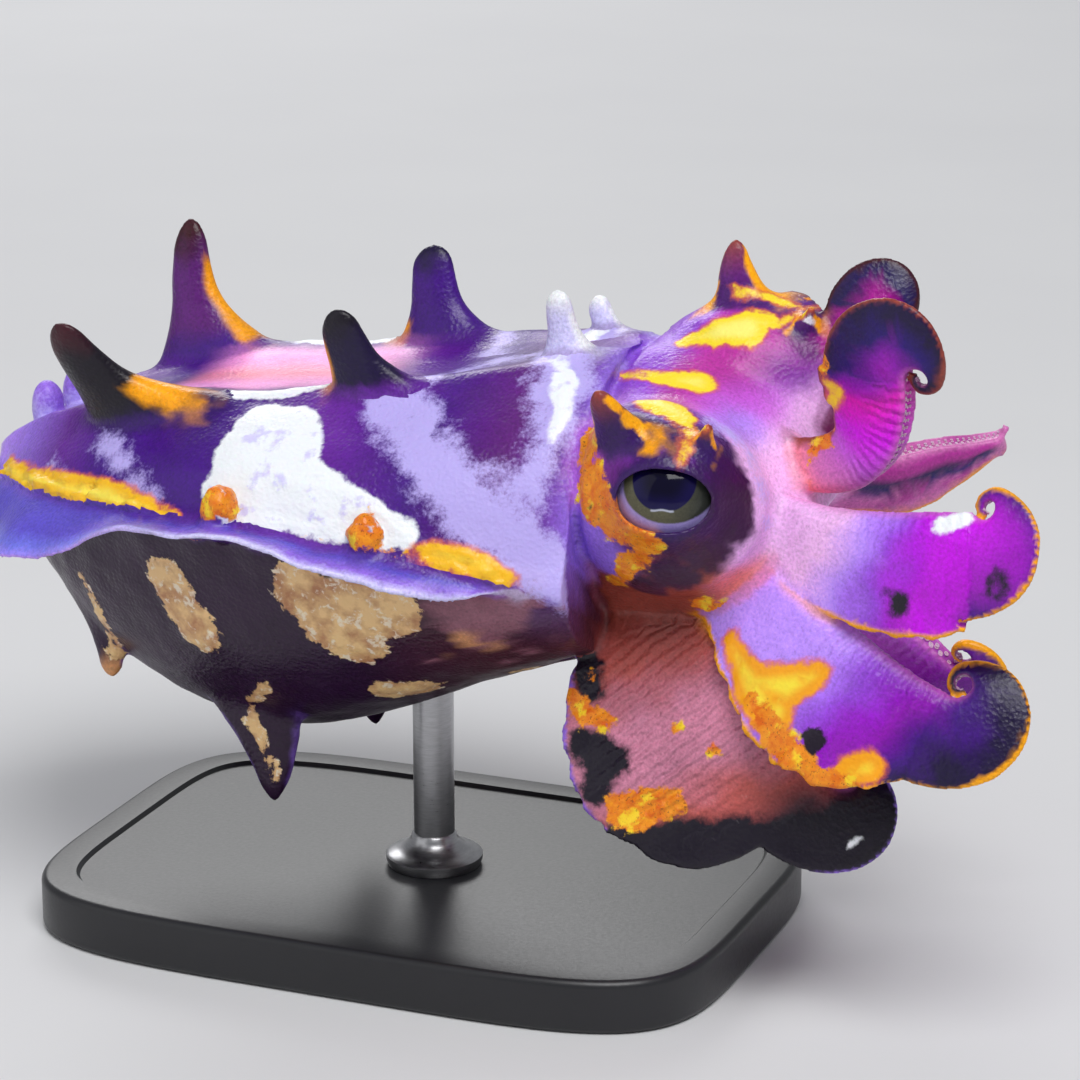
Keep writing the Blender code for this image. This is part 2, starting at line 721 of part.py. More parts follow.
def fin_rings(side):
    """Rings of one rippling fin, root to edge, from the front to the tail."""
    rings = []
    for k in range(FIN_STATIONS):
        t = k / (FIN_STATIONS - 1)
        x = FIN_FROM_X + (FIN_TO_X - FIN_FROM_X) * t
        root = mantle_point(max(x, MANTLE[0][0] + 0.1), 0.0)
        root += Vector((0.0, -GAP, -0.2))
        width = curve_value(FIN_WIDTH, t)
        wave = math.sin(2 * math.pi * FIN_WAVES * t)
        droop = math.radians(curve_value(FIN_DROOP_DEG, t) + FIN_SWAY_DEG * wave)
        row_top = []
        row_low = []
        for j in range(FIN_COLUMNS):
            u = j / (FIN_COLUMNS - 1)
            bend = droop * (0.55 + 0.45 * u)
            out = Vector((-0.25 * t * u, -math.cos(bend), -math.sin(bend)))
            point = root + out * (width * u)
            point.z += FIN_RIPPLE * 0.25 * wave * u * u
            half = FIN_THICKNESS / 2 * (1.25 - 0.35 * u)
            lift = Vector((0.0, -math.sin(bend), math.cos(bend))) * half
            row_top.append(point + lift)
            row_low.append(point - lift)
        ring = row_top + list(reversed(row_low))
        if side > 0:
            ring = [Vector((p.x, -p.y, p.z)) for p in reversed(ring)]
        rings.append(ring)
    return rings


def make_fin(name, side):
    body = loft(name, fin_rings(side), fin_skin())
    return keep_clear(body, mantle_tools())


def mouth_body(name, grow=0.0):
    ahead = head_ahead()
    centre = on_head(HEAD_CORE[-1][:3]) + ahead * 0.2
    turn = ahead.to_track_quat("Z", "Y").to_matrix()
    radius = MOUTH_RADIUS + grow
    return ellipsoid(name, centre, (radius, radius, radius - 0.4), mouth_skin(), turn, 16, 9)


def torus(centre, turn, radius, tube, around, across, mat):
    """A closed ring round the Z of its turn."""
    vertices = []
    faces = []
    for k in range(around):
        a = 2 * math.pi * k / around
        for j in range(across):
            b = 2 * math.pi * j / across
            r = radius + tube * math.cos(b)
            vertices.append(centre + turn @ Vector((r * math.cos(a), r * math.sin(a),
                                                    tube * math.sin(b))))
            p = k * across + j
            q = k * across + (j + 1) % across
            step = ((k + 1) % around - k) * across
            faces.append((p, p + step, q + step, q))
    return new_object("tool", vertices, faces, mat)


def make_mouth():
    """The rounded mouth in the crown, with its lip ring and the tip of the beak."""
    body = mouth_body("mouth")
    ahead = head_ahead()
    turn = ahead.to_track_quat("Z", "Y").to_matrix()
    front = on_head(HEAD_CORE[-1][:3]) + ahead * (MOUTH_RADIUS - 0.4)
    lips = torus(front, turn, LIP_RADIUS, LIP_TUBE, 14, 5, mouth_skin())
    boolean(body, lips, "UNION")
    rings = []
    for along, reach in ((-1.0, 1.0), (0.4, 0.8), (BEAK_LENGTH - 0.4, 0.25)):
        rings.append([front + ahead * along + turn @ Vector(
            (BEAK_RADIUS * reach * math.cos(math.pi * c / 4),
             BEAK_RADIUS * reach * math.sin(math.pi * c / 4) - reach * 0.2, 0.0)) for c in range(8)])
    boolean(body, loft("tool", rings, mouth_skin()), "UNION")
    return keep_clear(body, head_tools())


def near(one, other):
    """Whether the boxes round two objects come within the gap of each other."""
    reach = GAP * MM
    for axis in range(3):
        a = [c[axis] for c in one.bound_box]
        b = [c[axis] for c in other.bound_box]
        if min(a) > max(b) + reach or min(b) > max(a) + reach:
            return False
    return True


def sucker(centre, axis, radius):
    """A short cup with its foot sunk in the skin and its mouth dished."""
    side = axis.orthogonal().normalized()
    other = axis.cross(side)
    height = SUCKER_HEIGHT * radius
    vertices = []
    for level, reach in ((-SUCKER_ROOT, 0.72), (height, 1.0)):
        for k in range(SUCKER_SIDES):
            a = 2 * math.pi * k / SUCKER_SIDES
            spoke = side * math.cos(a) + other * math.sin(a)
            vertices.append(centre + axis * level + spoke * (radius * reach))
    vertices.append(centre - axis * SUCKER_ROOT)
    vertices.append(centre + axis * (height - SUCKER_CUP * radius))
    foot = 2 * SUCKER_SIDES
    faces = []
    for k in range(SUCKER_SIDES):
        n = (k + 1) % SUCKER_SIDES
        faces.append((k, n, n + SUCKER_SIDES, k + SUCKER_SIDES))
        faces.append((foot, n, k))
        faces.append((foot + 1, k + SUCKER_SIDES, n + SUCKER_SIDES))
    return new_object("sucker", vertices, faces, arm_skin())


def sucker_places(stations, dice):
    """Centre, outward axis, radius and station number of every sucker of one arm."""
    lengths = [0.0]
    for one, two in zip(stations, stations[1:]):
        lengths.append(lengths[-1] + (two[0] - one[0]).length)
    total = lengths[-1]
    along = total * SUCKER_FIRST
    row = 1
    places = []
    while along < total * SUCKER_LAST:
        radius = curve_value(SUCKER_RADIUS, along / total) * dice.uniform(0.94, 1.06)
        k = max(i for i, length in enumerate(lengths[:-1]) if length <= along)
        u = (along - lengths[k]) / (lengths[k + 1] - lengths[k])
        one = stations[k]
        two = stations[k + 1]
        here = one[0].lerp(two[0], u)
        out = one[2].lerp(two[2], u).normalized()
        thick = one[4] + (two[4] - one[4]) * u
        radius = min(radius, thick * 0.8)
        places.append((here, -out, radius, k + u, row * min(0.36 * thick, 0.62 * radius)))
        along += radius * SUCKER_PITCH + SUCKER_SPACE
        row = -row
    return places


def add_suckers(piece, places, normal, low, high, lengths):
    """Fuse the suckers that stand between two stations to the piece."""
    tray = bpy.data.collections.new("suckers")
    cups = []
    for here, axis, radius, station, offset in places:
        room = (radius + GAP) / lengths
        if low + room < station < high - room:
            cup = sucker(here + normal * offset, axis, radius)
            tray.objects.link(cup)
            cups.append(cup)
    if cups:
        step = piece.modifiers.new("suckers", "BOOLEAN")
        step.operation = "UNION"
        step.operand_type = "COLLECTION"
        step.collection = tray
        step.solver = "MANIFOLD"
        bpy.context.view_layer.objects.active = piece
        bpy.ops.object.modifier_apply(modifier=step.name)
    for cup in cups:
        remove(cup)
    bpy.data.collections.remove(tray)


def make_arms():
    """Every arm in three lengths, kept clear of the head and of its neighbours."""
    done = []
    for key, spec in ARMS.items():
        stations, normal = arm_frame(spec)
        places = sucker_places(stations, random.Random(SEED + len(done)))
        pitch = (stations[1][0] - stations[0][0]).length
        first, second = ARM_CUTS
        last = len(stations) - 1
        parts = (("base", 0, first, 0.0), ("middle", first, second, GAP), ("curl", second, last, GAP))
        for part, low, high, shift in parts:
            rows = stations[low:high + 1]
            piece = arm_piece("arm_" + key + "_" + part, rows, normal, 0.0, shift)
            step = pitch if part != "curl" else (rows[1][0] - rows[0][0]).length
            add_suckers(piece, places, normal, low, high, step)
            tools = head_tools() + mantle_tools() + [mouth_body("tool", GAP), funnel_body("tool", GAP)]
            tools += [arm_piece("tool", other, flat, GAP, 0.0, SUCKER_HEIGHT) for other, flat in done]
            keep_clear(piece, tools)
        done.append((stations, normal))


def make_stand():
    size = BASE_SIZE
    floor_z = -ANIMAL_AT.z
    rings = []
    for z, inset in ((0.0, 0.0), (size[2] - 1.0, 0.0), (size[2], 1.0)):
        ring = []
        for col in range(36):
            a = 2 * math.pi * col / 36
            c = math.cos(a)
            s = math.sin(a)
            x = (size[0] / 2 - inset) * math.copysign(abs(c) ** 0.42, c)
            y = (size[1] / 2 - inset) * math.copysign(abs(s) ** 0.42, s)
            ring.append(Vector((BASE_AT_X + x, y, floor_z + z)))
        rings.append(ring)
    loft("stand_base", rings, base_material())
    low = floor_z + size[2] + GAP
    rings = []
    for z, radius in ((low, ROD_FOOT_RADIUS), (low + 0.8, ROD_FOOT_RADIUS),
                      (low + ROD_FOOT_HEIGHT, ROD_RADIUS), (ROD_TOP_Z, ROD_RADIUS)):
        rings.append([Vector((ROD_AT[0] + radius * math.cos(2 * math.pi * c / 24),
                              ROD_AT[1] + radius * math.sin(2 * math.pi * c / 24), z))
                      for c in range(24)])
    rod = loft("stand_rod", rings, rod_material())
    keep_clear(rod, mantle_tools())


def build():
    clear_scene()
    make_mantle()
    make_head()
    make_eye("eye_right", -1)
    make_eye("eye_left", 1)
    for spec in PAPILLAE:
        mat = white_skin() if "front" in spec[0] else papilla_skin()
        make_papilla(spec, mat)
    for spec in FLAPS:
        make_papilla(spec, belly_skin(), 0.0)
    make_fin("fin_right", -1)
    make_fin("fin_left", 1)
    make_funnel()
    make_mouth()
    make_arms()
    make_stand()


build()
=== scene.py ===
# The looks of a life-size flamboyant cuttlefish model on a display stand.
# Sizes are millimetres in the animal's own frame: X toward the head, Y to its left, Z up,
# from the middle of the mantle's front margin.
import math
import random

import bmesh
import bpy
import numpy as np
from mathutils import Matrix, Vector, noise
from mathutils.bvhtree import BVHTree


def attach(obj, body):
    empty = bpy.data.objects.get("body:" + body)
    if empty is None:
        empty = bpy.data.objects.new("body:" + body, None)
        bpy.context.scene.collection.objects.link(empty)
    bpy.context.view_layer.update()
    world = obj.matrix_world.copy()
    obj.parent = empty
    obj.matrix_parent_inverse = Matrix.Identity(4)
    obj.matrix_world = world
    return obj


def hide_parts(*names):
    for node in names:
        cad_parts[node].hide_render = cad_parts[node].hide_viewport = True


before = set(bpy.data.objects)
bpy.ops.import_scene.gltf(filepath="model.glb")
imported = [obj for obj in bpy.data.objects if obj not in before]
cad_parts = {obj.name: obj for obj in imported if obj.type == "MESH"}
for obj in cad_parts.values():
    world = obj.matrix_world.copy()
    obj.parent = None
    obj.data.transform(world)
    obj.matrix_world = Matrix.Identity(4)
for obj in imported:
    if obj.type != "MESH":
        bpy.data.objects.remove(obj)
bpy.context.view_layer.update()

MM = 0.001
GAP = 0.3
EYE_HOLLOW = 0.18
EYE_GROWTH = 0.10

AT = Vector((12.0, 0.0, 44.0))

# Mantle stations, tail to front: x, half width, crest height, belly height
MANTLE = (
    (-63.6, 1.6, -2.6, -5.0),
    (-61.5, 5.0, -1.2, -8.0),
    (-57.0, 9.6, 1.2, -13.0),
    (-50.0, 14.2, 4.0, -20.2),
    (-40.0, 18.0, 6.6, -24.9),
    (-30.0, 20.0, 7.8, -25.8),
    (-20.0, 20.4, 9.2, -22.6),
    (-10.0, 19.8, 11.0, -18.2),
    (-3.0, 18.6, 12.4, -15.6),
    (0.0, 17.6, 12.6, -14.4),
)
FIN_LINE_Z = (-4.4, -3.1, -2.2, -3.0, -5.4)
CREST_Y = (3.0, 8.6, 9.2, 8.8, 4.0)
CREST_HEIGHT = 1.5
CREST_SADDLE = 1.0
DORSAL_DIP = 1.0
FIN_RIDGE = 1.3

FIN_FROM_X = -3.5
FIN_TO_X = -63.0
FIN_WIDTH = (1.2, 2.8, 3.4, 3.6, 4.4, 6.2, 3.6)
FIN_THICKNESS = 0.6
FIN_DROOP_DEG = (40.0, 36.0, 10.0, -5.0, 0.0, 30.0, 48.0, 50.0)
FIN_SWAY_DEG = 9.0
FIN_RIPPLE = 1.1
FIN_WAVES = 4.5

# Knobs on the mantle: x, distance from the middle plane, height, radius, rise
KNOBS = (
    (-57.5, 3.0, 1.6, 1.5, 1.0),
    (-31.2, 20.8, -1.2, 1.5, 1.1),
    (-17.0, 21.0, -2.0, 1.4, 0.8),
)

# Papillae of the back: base, tip, base width, tip width, base thickness, bend
PAPILLAE = (
    ("papilla_rear_right", (-42.6, -9.0, 2.2), (-50.0, -14.6, 12.8), 8.4, 3.6, 4.4, 1.0),
    ("papilla_rear_left", (-45.0, 9.0, 2.6), (-49.4, 11.0, 17.2), 8.0, 2.8, 4.2, 1.2),
    ("papilla_middle_right", (-20.0, -9.0, 6.0), (-23.8, -12.0, 15.9), 7.4, 3.2, 3.8, 0.7),
    ("papilla_middle_left", (-21.8, 9.0, 6.6), (-24.4, 10.6, 16.9), 6.8, 3.6, 3.8, 0.5),
    ("papilla_front_right", (-4.4, -4.2, 10.4), (-6.0, -4.6, 17.6), 3.8, 2.2, 3.0, 0.2),
    ("papilla_front_left", (-3.8, 5.4, 9.8), (-6.6, 6.6, 14.6), 3.6, 1.8, 3.0, 0.3),
)

# Flaps under the belly: base, tip, base width, tip width, base thickness, bend
FLAPS = tuple((f"{name}_{word}", (base[0], base[1] * side, base[2]), (tip[0], tip[1] * side, tip[2]), *rest)
              for name, base, tip, *rest in (
                  ("flap_front", (-33.6, 10.6, -19.0), (-30.9, 11.2, -30.9), 12.5, 1.6, 3.2, -0.8),
                  ("flap_rear", (-50.2, 8.6, -13.2), (-48.0, 9.6, -21.6), 6.4, 1.8, 2.8, -0.5))
              for word, side in (("right", -1), ("left", 1)))

# Head core: centre x, y, z, pitch in degrees, half width, half height
HEAD_CORE = (
    (-5.0, 0.0, -0.8, 0.0, 11.5, 10.4),
    (-1.0, 0.0, -0.4, 0.0, 13.4, 12.2),
    (3.5, 0.0, 0.0, 10.0, 13.6, 12.4),
    (8.0, -0.3, -0.8, 27.0, 12.4, 11.2),
    (11.2, -0.7, -3.0, 41.0, 10.8, 9.4),
    (13.6, -1.0, -5.0, 43.0, 8.8, 7.9),
)
HEAD_ROLL_DEG = 20.0
HEAD_YAW_DEG = -10.0
HEAD_PIVOT = (5.5, 0.0, 0.0)
DOME_AT = (7.5, 8.3, 4.5)
DOME_RADII = (9.8, 7.8, 9.0)
EYE_LOOK = (0.36, 0.78, 0.51)
EYE_AT = (10.0, 10.4, 7.1)
EYE_RADIUS = 5.3
LID_THICKNESS = 0.65
LID_OPENING = (4.0, 2.8)
LID_OPENING_DROP = 0.35

# Papillae of the head in its own frame: base, tip, base width, tip width, thickness, bend
HEAD_PAPILLAE = (
    ((7.6, 10.2, 10.6), (5.9, 12.5, 18.0), 7.0, 1.6, 3.6, 0.5),
    ((13.3, 9.3, 10.6), (14.2, 9.6, 14.0), 2.6, 1.2, 2.2, 0.0),
)
MOUTH_RADIUS = 4.3
LIP_SET = 0.4
LIP_RADIUS = 1.75
LIP_TUBE = 0.55
BEAK_RADIUS = 1.0
BEAK_DEPTH = 2.2

# Arms: oral edge from the crown out, hub of the curl, aboral direction,
# blade widths along the path, core half thickness, turns of the curl
ARMS = {
    "right_1": (((11.5, -2.4, 2.6), (17.6, -3.6, 2.2), (22.6, -5.0, 3.4), (25.7, -6.4, 6.6),
                 (26.8, -7.2, 10.4), (26.9, -7.5, 13.1)),
                (28.1, -7.6, 13.9), (-0.75, 0.05, 0.66), (4.4, 4.6, 5.8, 7.2, 8.4, 8.8), 2.3, 1.15),
    "right_2": (((9.5, -3.2, 0.4), (15.4, -5.4, 1.6), (20.9, -7.6, 1.6), (25.9, -9.2, 2.2),
                 (30.6, -10.2, 3.0), (34.0, -10.5, 3.4)),
                (35.0, -10.5, 4.0), (0.05, -0.42, -0.9), (4.6, 6.4, 8.8, 10.2, 10.6, 9.8), 2.4, 1.1),
    "right_3": (((8.5, -3.6, -1.6), (13.7, -6.0, -3.4), (19.2, -8.4, -5.9), (23.9, -10.2, -8.2),
                 (28.4, -11.6, -10.4), (32.5, -12.0, -12.2)),
                (33.4, -12.0, -11.0), (-0.5, -0.4, -0.76), (5.0, 8.0, 11.4, 13.2, 12.2, 8.5), 2.5, 1.2),
    "right_4": (((4.5, -3.0, -4.0), (7.6, -5.0, -7.0), (11.8, -7.0, -11.2), (16.2, -8.6, -15.7),
                 (19.6, -9.4, -19.8), (22.0, -9.8, -22.0)),
                (23.1, -9.8, -21.4), (-0.86, -0.3, -0.42), (8.4, 13.6, 18.3, 19.2, 16.4, 8.8), 2.5, 1.1),
    "left_1": (((11.8, 0.8, 2.2), (16.8, 1.4, 3.8), (19.4, 2.6, 7.0), (20.2, 4.2, 10.8),
                (20.3, 5.0, 13.8), (20.6, 5.4, 15.4)),
               (21.8, 5.4, 15.8), (-0.75, 0.05, 0.66), (4.6, 5.0, 5.6, 5.8, 5.8, 5.4), 2.0, 1.1),
    "left_2": (((11.0, 2.4, 0.6), (16.4, 3.8, 1.6), (20.8, 6.0, 2.8), (24.2, 8.2, 3.6),
                (27.0, 9.8, 3.9), (29.3, 11.2, 4.2)),
               (28.9, 11.3, 5.5), (0.1, 0.3, -0.95), (3.6, 4.6, 6.2, 6.0, 4.2, 2.3), 1.9, 0.16),
    "left_3": (((9.0, 3.0, -2.4), (13.6, 4.4, -5.0), (17.6, 6.0, -8.0), (21.0, 7.6, -11.2),
                (24.0, 8.8, -14.2), (26.6, 9.4, -16.6)),
               (27.6, 9.4, -15.6), (-0.4, 0.3, -0.86), (4.6, 5.6, 7.0, 7.4, 6.8, 5.8), 2.1, 1.1),
    "left_4": (((4.5, 2.6, -4.4), (7.4, 4.4, -7.8), (10.4, 6.6, -11.4), (13.4, 8.6, -14.8),
                (16.4, 10.0, -17.8), (18.8, 10.8, -19.8)),
               (19.8, 10.8, -18.8), (-0.86, 0.3, -0.42), (5.4, 7.4, 9.6, 10.4, 9.0, 6.6), 2.2, 1.1),
}
CURL_END_RADIUS = 0.42
CURL_WIDTHS = (1.0, 0.76, 0.25, 0.12, 0.09, 0.06)
KEEL_HALF = 0.3
TIP_WIDTH = 0.55
TIP_CORE = 0.32

FUNNEL_FROM = (-2.5, 0.0, -12.2)
FUNNEL_TO = (8.2, -0.2, -15.2)
FUNNEL_RADII = (4.4, 4.2, 3.4, 2.5)
FUNNEL_STEPS = 30

BASE_SIZE = (66.0, 46.0, 5.0)
BASE_AT_X = -21.0
BASE_CORNER = 0.42
BASE_MARGIN = 3.2
BASE_PLATE = 0.35
BASE_EDGE = 0.7
ROD_RADIUS = 1.9
ROD_FOOT_RADIUS = 4.5
ROD_AT = (-20.0, 0.0)
ROD_TOP_Z = -18.0

# Fineness of the forms before they are grown into one skin, and of the skin itself
MANTLE_COLUMNS = 168
MANTLE_STEPS = 210
FIN_STEPS = 260
FIN_COLUMNS = 16
KNIT = 0.22
SMOOTH_ROUNDS = 4
SKIN_FACES = 182000
REACH = 2.4
FAR = 9.0
FILLET = 1.3
LID_HOOD = 0.2
PAPILLA_FLARE = 1.3
HORN_FLARE = 0.7
FLAP_FLARE = 0.0
FILLET_ROUNDS = 36
HEAD_FILLET = 1.8
HEAD_ROUNDS = 60
GROOVE = 0.45

# Section of an arm's web: across from oral keel to thin rim, fullness, share of the keel
SECTION = ((0.05, 0.0, 0.0), (0.03, 0.30, 0.5), (-0.012, 0.54, 0.9), (0.015, 0.70, 1.0), (0.07, 0.87, 1.0),
           (0.16, 1.0, 1.0), (0.25, 0.95, 1.0), (0.35, 0.84, 1.0), (0.45, 0.70, 1.0),
           (0.55, 0.56, 1.0), (0.65, 0.42, 1.0), (0.75, 0.28, 1.0), (0.84, 0.16, 1.0),
           (0.92, 0.07, 0.95), (0.97, 0.02, 0.8), (0.992, 0.0, 0.5), (1.0, 0.0, 0.0))
RIM_WAVE = {"right_2": 0.20, "right_3": 0.45, "right_4": 0.35, "left_4": 0.3, "left_3": 0.3}

# Steps that even out the mesh without shrinking it, and how softly tones of parts meet (mm)
SMOOTH_STEPS = (0.52, -0.54)
MELT_STEP = 0.5
TONES_MEET = 0.45

# Heights of the skin's relief (mm): two rounds of unevenness, and the raised marks
UNEVEN_HIGH = 0.16
UNEVEN_LOW = 0.08
RIDGE_RISE = 0.42
WHITE_RISE = 0.32
GOLD_RISE = 0.12

# The photograph's angle on the model
CAMERA_BACK = (0.3582, -0.8867, 0.2924)
CAMERA_TARGET = (-7.5, -4.7, -5.2)
CAMERA_DISTANCE = 350.0
CAMERA_LENS = 131.8
CAMERA_SENSOR = 36.0
FLOOR_SIZE = 6.0


def to_world(point):
    """A point of the animal's frame, in millimetres, as metres on the stand."""
    return (Vector(point) + AT) * MM


# Marks of the skin by layer and part: chains of spots with their reach in mm
MARKS = {
    ("white", "mantle"): (
        ((-30.4, -13.9, 5.4, 2.6), (-27.2, -14.8, 5.2, 3.2), (-28.2, -16.6, 3.2, 5.2),
         (-28.1, -18.9, 0.8, 4.5), (-31.4, -18.4, 0.6, 2.2)),
        ((-25.1, -18.9, 1.2, 3.9), (-19.5, -19.7, -0.1, 2.8), (-14.2, -19.9, -1.2, 1.7)),
        ((-6.4, -2.4, 11.2, 1.3), (-3.4, -8.8, 10.5, 1.3), (-2.6, -12, 8.5, 0.9), (-2.6, -13.9, 6.7, 0.5)),
        ((-40.4, -9.7, 5.6, 0.6), (-36.2, -9.5, 6.5, 0.8), (-30.1, -10, 7, 0.9), (-25, -9.2, 8, 0.6)),),
    ("pale", "mantle"): (
        ((-7, -16.6, 4.6, 0.7), (-3.4, -17.1, 2.3, 1.1), (-3.9, -18.2, -0.1, 1.6)),
        ((-3, -14, 6.9, 1.3), (-3, -15.8, 4.7, 1.1), (-3.4, -17.1, 2.3, 1.2)),
        ((-17.6, -12.5, 7.5, 2.6), (-13.7, -16, 4.9, 3), (-10.2, -17.7, 2.6, 2.6),
         (-6.8, -18.4, 0.4, 2.5), (-3.1, -18.4, -2, 2.4), (-0.1, -18.4, -4.7, 1.5)),
        ((-16.9, -9.9, 9.2, 1), (-14.9, -2.8, 9.3, 1.2), (-10.8, 1, 10.2, 1.4), (-4.9, -2.9, 11.8, 1.4)),
        ((-7.8, -0.1, 10.8, 2.4), (-3.6, -8.6, 10.6, 2.4), (-2.8, -12.2, 8.4, 2), (-2.8, -14.4, 6.2, 1.6)),
        ((-57.4, -4.3, 1, 0.7), (-56.8, 2, 0.8, 0.9), (-51.5, -2.4, 2.8, 0.7)),
        ((-46, -12.8, 2.1, 0.7), (-42.8, -15.6, 0.5, 0.8)),
        ((-41.3, -16.7, -0.1, 0.9), (-38.1, -18.6, -1.8, 1.1)),
        ((-52.4, -12.2, -1.4, 0.7), (-50.9, -13.4, -2, 0.7)),
        ((-2.2, -10.6, 9.6, 0.9), (-1.9, -13.6, 6.9, 0.7)),),
    ("yellow", "mantle"): (
        ((-59.5, -7.6, -3.4, 1), (-54.9, -11.7, -2.9, 1.2), (-48.8, -15.2, -2.1, 1.2),
         (-44.1, -17, -1.8, 1.6), (-38.7, -19.2, -2.2, 1.1), (-35.4, -20, -2, 0.5)),
        ((-12.2, -20.5, -2.6, 0.8), (-9.5, -20.1, -2.7, 1.1), (-6.9, -19.8, -3.2, 1.2),
         (-5, -19.4, -4.3, 0.9)),),
    ("orange", "mantle"): (
        ((-38.7, -19.1, -3, 0.4), (-34.5, -20.1, -2.9, 0.3), (-27.8, -20.4, -2.2, 0.3),
         (-21.3, -20.7, -2.2, 0.3), (-13.9, -20.7, -2.8, 0.4)),
        ((-31.2, -20.9, -0.2, 1.8), (-31.2, -20.7, 1.2, 1.2)),
        ((-17, -21.1, -1.1, 1.7), (-17, -20.9, 0.1, 1.1)),),
    ("gold", "mantle"): (
        ((-37.6, -18.2, -8.6, 2.3), (-35, -17.2, -13.3, 2.3)),
        ((-22.9, -20.3, -7.4, 3.6), (-17.9, -20, -7.8, 4.2), (-15, -19.5, -8.9, 2.6)),
        ((-18.9, -17.8, -12.6, 2.2), (-21.3, -19.3, -10.4, 3.2)),
        ((-18.3, -13.4, -17.8, 1.9), (-15.6, -12.2, -17.6, 1.8)),
        ((-8.5, -8.9, -16.8, 0.6), (-5.9, -8.6, -15.7, 0.6)),),
    ("spot", "mantle"): (
        ((-21.1, -21.1, -5.3, 0.8),),
        ((-17.7, -22.2, -3.9, 0.5),),),
    ("gold", "flap_front"): (
        ((-29.9, -15, -18.5, 0.8), (-33, -12, -22.1, 0.6), (-31.7, -11.9, -25.3, 0.5),
         (-30.5, -11.8, -28.1, 0.5)),),
    ("gold", "flap_rear"): (
        ((-48.7, -13.6, -10.7, 0.5), (-47.4, -12.8, -14.1, 0.6), (-47.3, -9.9, -18.9, 0.8)),),
    ("yellow", "head"): (
        ((3.9, 0.6, 12.6, 0.5), (7.1, 0.5, 13.9, 1.6), (9.3, 1.1, 14.6, 2.1)),
        ((7.6, 4.2, 16.5, 0.4), (9.7, 4.8, 16.2, 0.4), (12.7, 4.7, 16, 0.4)),
        ((0.5, -5, 10.6, 0.4), (4.4, -5.5, 10.6, 0.9), (7.2, -4.9, 10.6, 1.5)),
        ((4.6, -10.4, 10.3, 0.9), (6.8, -11, 10.1, 1.5), (8.6, -12, 9.6, 1.2)),
        ((9.3, -12.6, 9.2, 0.4), (11.5, -15.2, 9.8, 0.3)),
        ((9.7, -13.8, 8.8, 0.4), (10.1, -17, 6.9, 0.2)),),
    ("white", "head"): (
        ((14.8, 2.3, 15.1, 0.7),),),
    ("orange", "head"): (
        ((13.3, 6.6, 16, 0.4),),
        ((0.4, -13.4, 7.5, 1.1), (1.5, -15.7, 5.1, 1.6), (2.6, -16.7, 2.5, 2.1), (5.3, -18.1, 1.1, 2.3),
         (7.8, -18, -0.1, 1.3)),
        ((6.5, -16.9, -1.2, 1.1), (5, -15.8, -3.1, 0.9), (2.6, -12.4, -5.9, 0.8)),
        ((9.6, -10.3, -7, 0.8), (11.4, -9.2, -7.6, 1)),),
    ("spot", "head"): (
        ((2.2, -14.8, 4.4, 0.35), (1.9, -15.6, 2.6, 0.5), (3, -16.4, 1, 0.3)),),
    ("pale", "head"): (
        ((10.8, -11, 8.9, 0.6), (12.2, -10.2, 7.8, 0.7), (13.8, -9.7, 6.1, 0.7), (15, -9.9, 4, 0.6),
         (15.3, -10, 0.2, 0.8)),),
    ("yellow", "right_1"): (
        ((19.1, -6.2, 12.1, 0.5), (20.2, -6.6, 11.5, 0.7), (19.4, -6, 10.2, 0.5)),),
    ("orange", "right_1"): (
        ((19, -6.4, 14.3, 0.3), (18.9, -6.1, 12.7, 0.3)),
        ((19.3, -5.9, 9.7, 0.5), (19, -5.3, 6.9, 0.7), (17.7, -5.1, 5.7, 0.7)),),
    ("white", "right_2"): (
        ((31, -12.1, 2.5, 0.7), (33.3, -11.8, 3.2, 0.8)),),
    ("dark", "right_2"): (
        ((28, -13.5, -3.9, 1.1),),
        ((36.7, -14.1, -1.3, 1.3),),),
    ("yellow", "right_3"): (
        ((13.5, -11.6, -10.7, 0.7), (15.7, -13.1, -12.8, 1.2), (18.6, -13.7, -12.6, 1.8),
         (21.3, -13.5, -11.2, 1.1)),
        ((18, -14.5, -14.7, 1.6),),
        ((24.6, -16.5, -18.6, 0.9), (26.8, -16.2, -18, 1.3)),
        ((12.6, -11, -10.1, 0.7), (14.2, -12.4, -12, 1.4), (16.2, -13.8, -14.1, 1.8),
         (17.6, -14.6, -15.4, 1.6)),),
    ("orange", "right_3"): (
        ((15.6, -13.7, -14.2, 0.8), (18.6, -15.6, -17.2, 1.5), (22.3, -16.8, -19.5, 1.5),
         (27.1, -16.4, -20.5, 0.8)),),
    ("spot", "right_3"): (
        ((22, -15.7, -16.5, 0.9),),),
    ("dark", "right_4"): (
        ((-1.4, -10, -14.1, 1.4), (-0.1, -11.3, -16.3, 1.5)),
        ((0.2, -13.5, -20.6, 1.6), (2.6, -13.6, -21.6, 1.8), (1.7, -14.7, -23.9, 1.6)),
        ((4.4, -15.2, -28, 1.6), (10.6, -15, -28.6, 3.2), (16.2, -12.7, -28.2, 3.1),
         (21.6, -12.7, -26.5, 2.7), (25.2, -11.4, -24.6, 2.1)),),
    ("orange", "right_4"): (
        ((-0.4, -10.7, -15.2, 0.5),),
        ((-2, -11.3, -16.8, 0.8), (-0.3, -12.1, -17.9, 1.1), (1.6, -12.4, -18.3, 0.9)),
        ((4.4, -14.9, -25.3, 1.7), (6.2, -14.6, -25, 1.9), (9, -14.3, -24.2, 1.1)),
        ((16.4, -13.2, -28.7, 0.5),),
        ((8.2, -12.4, -18.2, 0.4),),
        ((11.8, -12.4, -19.3, 0.6),),),
    ("white", "right_4"): (
        ((23.5, -12.6, -27.3, 0.4), (24.8, -12, -26.1, 0.3)),),
}


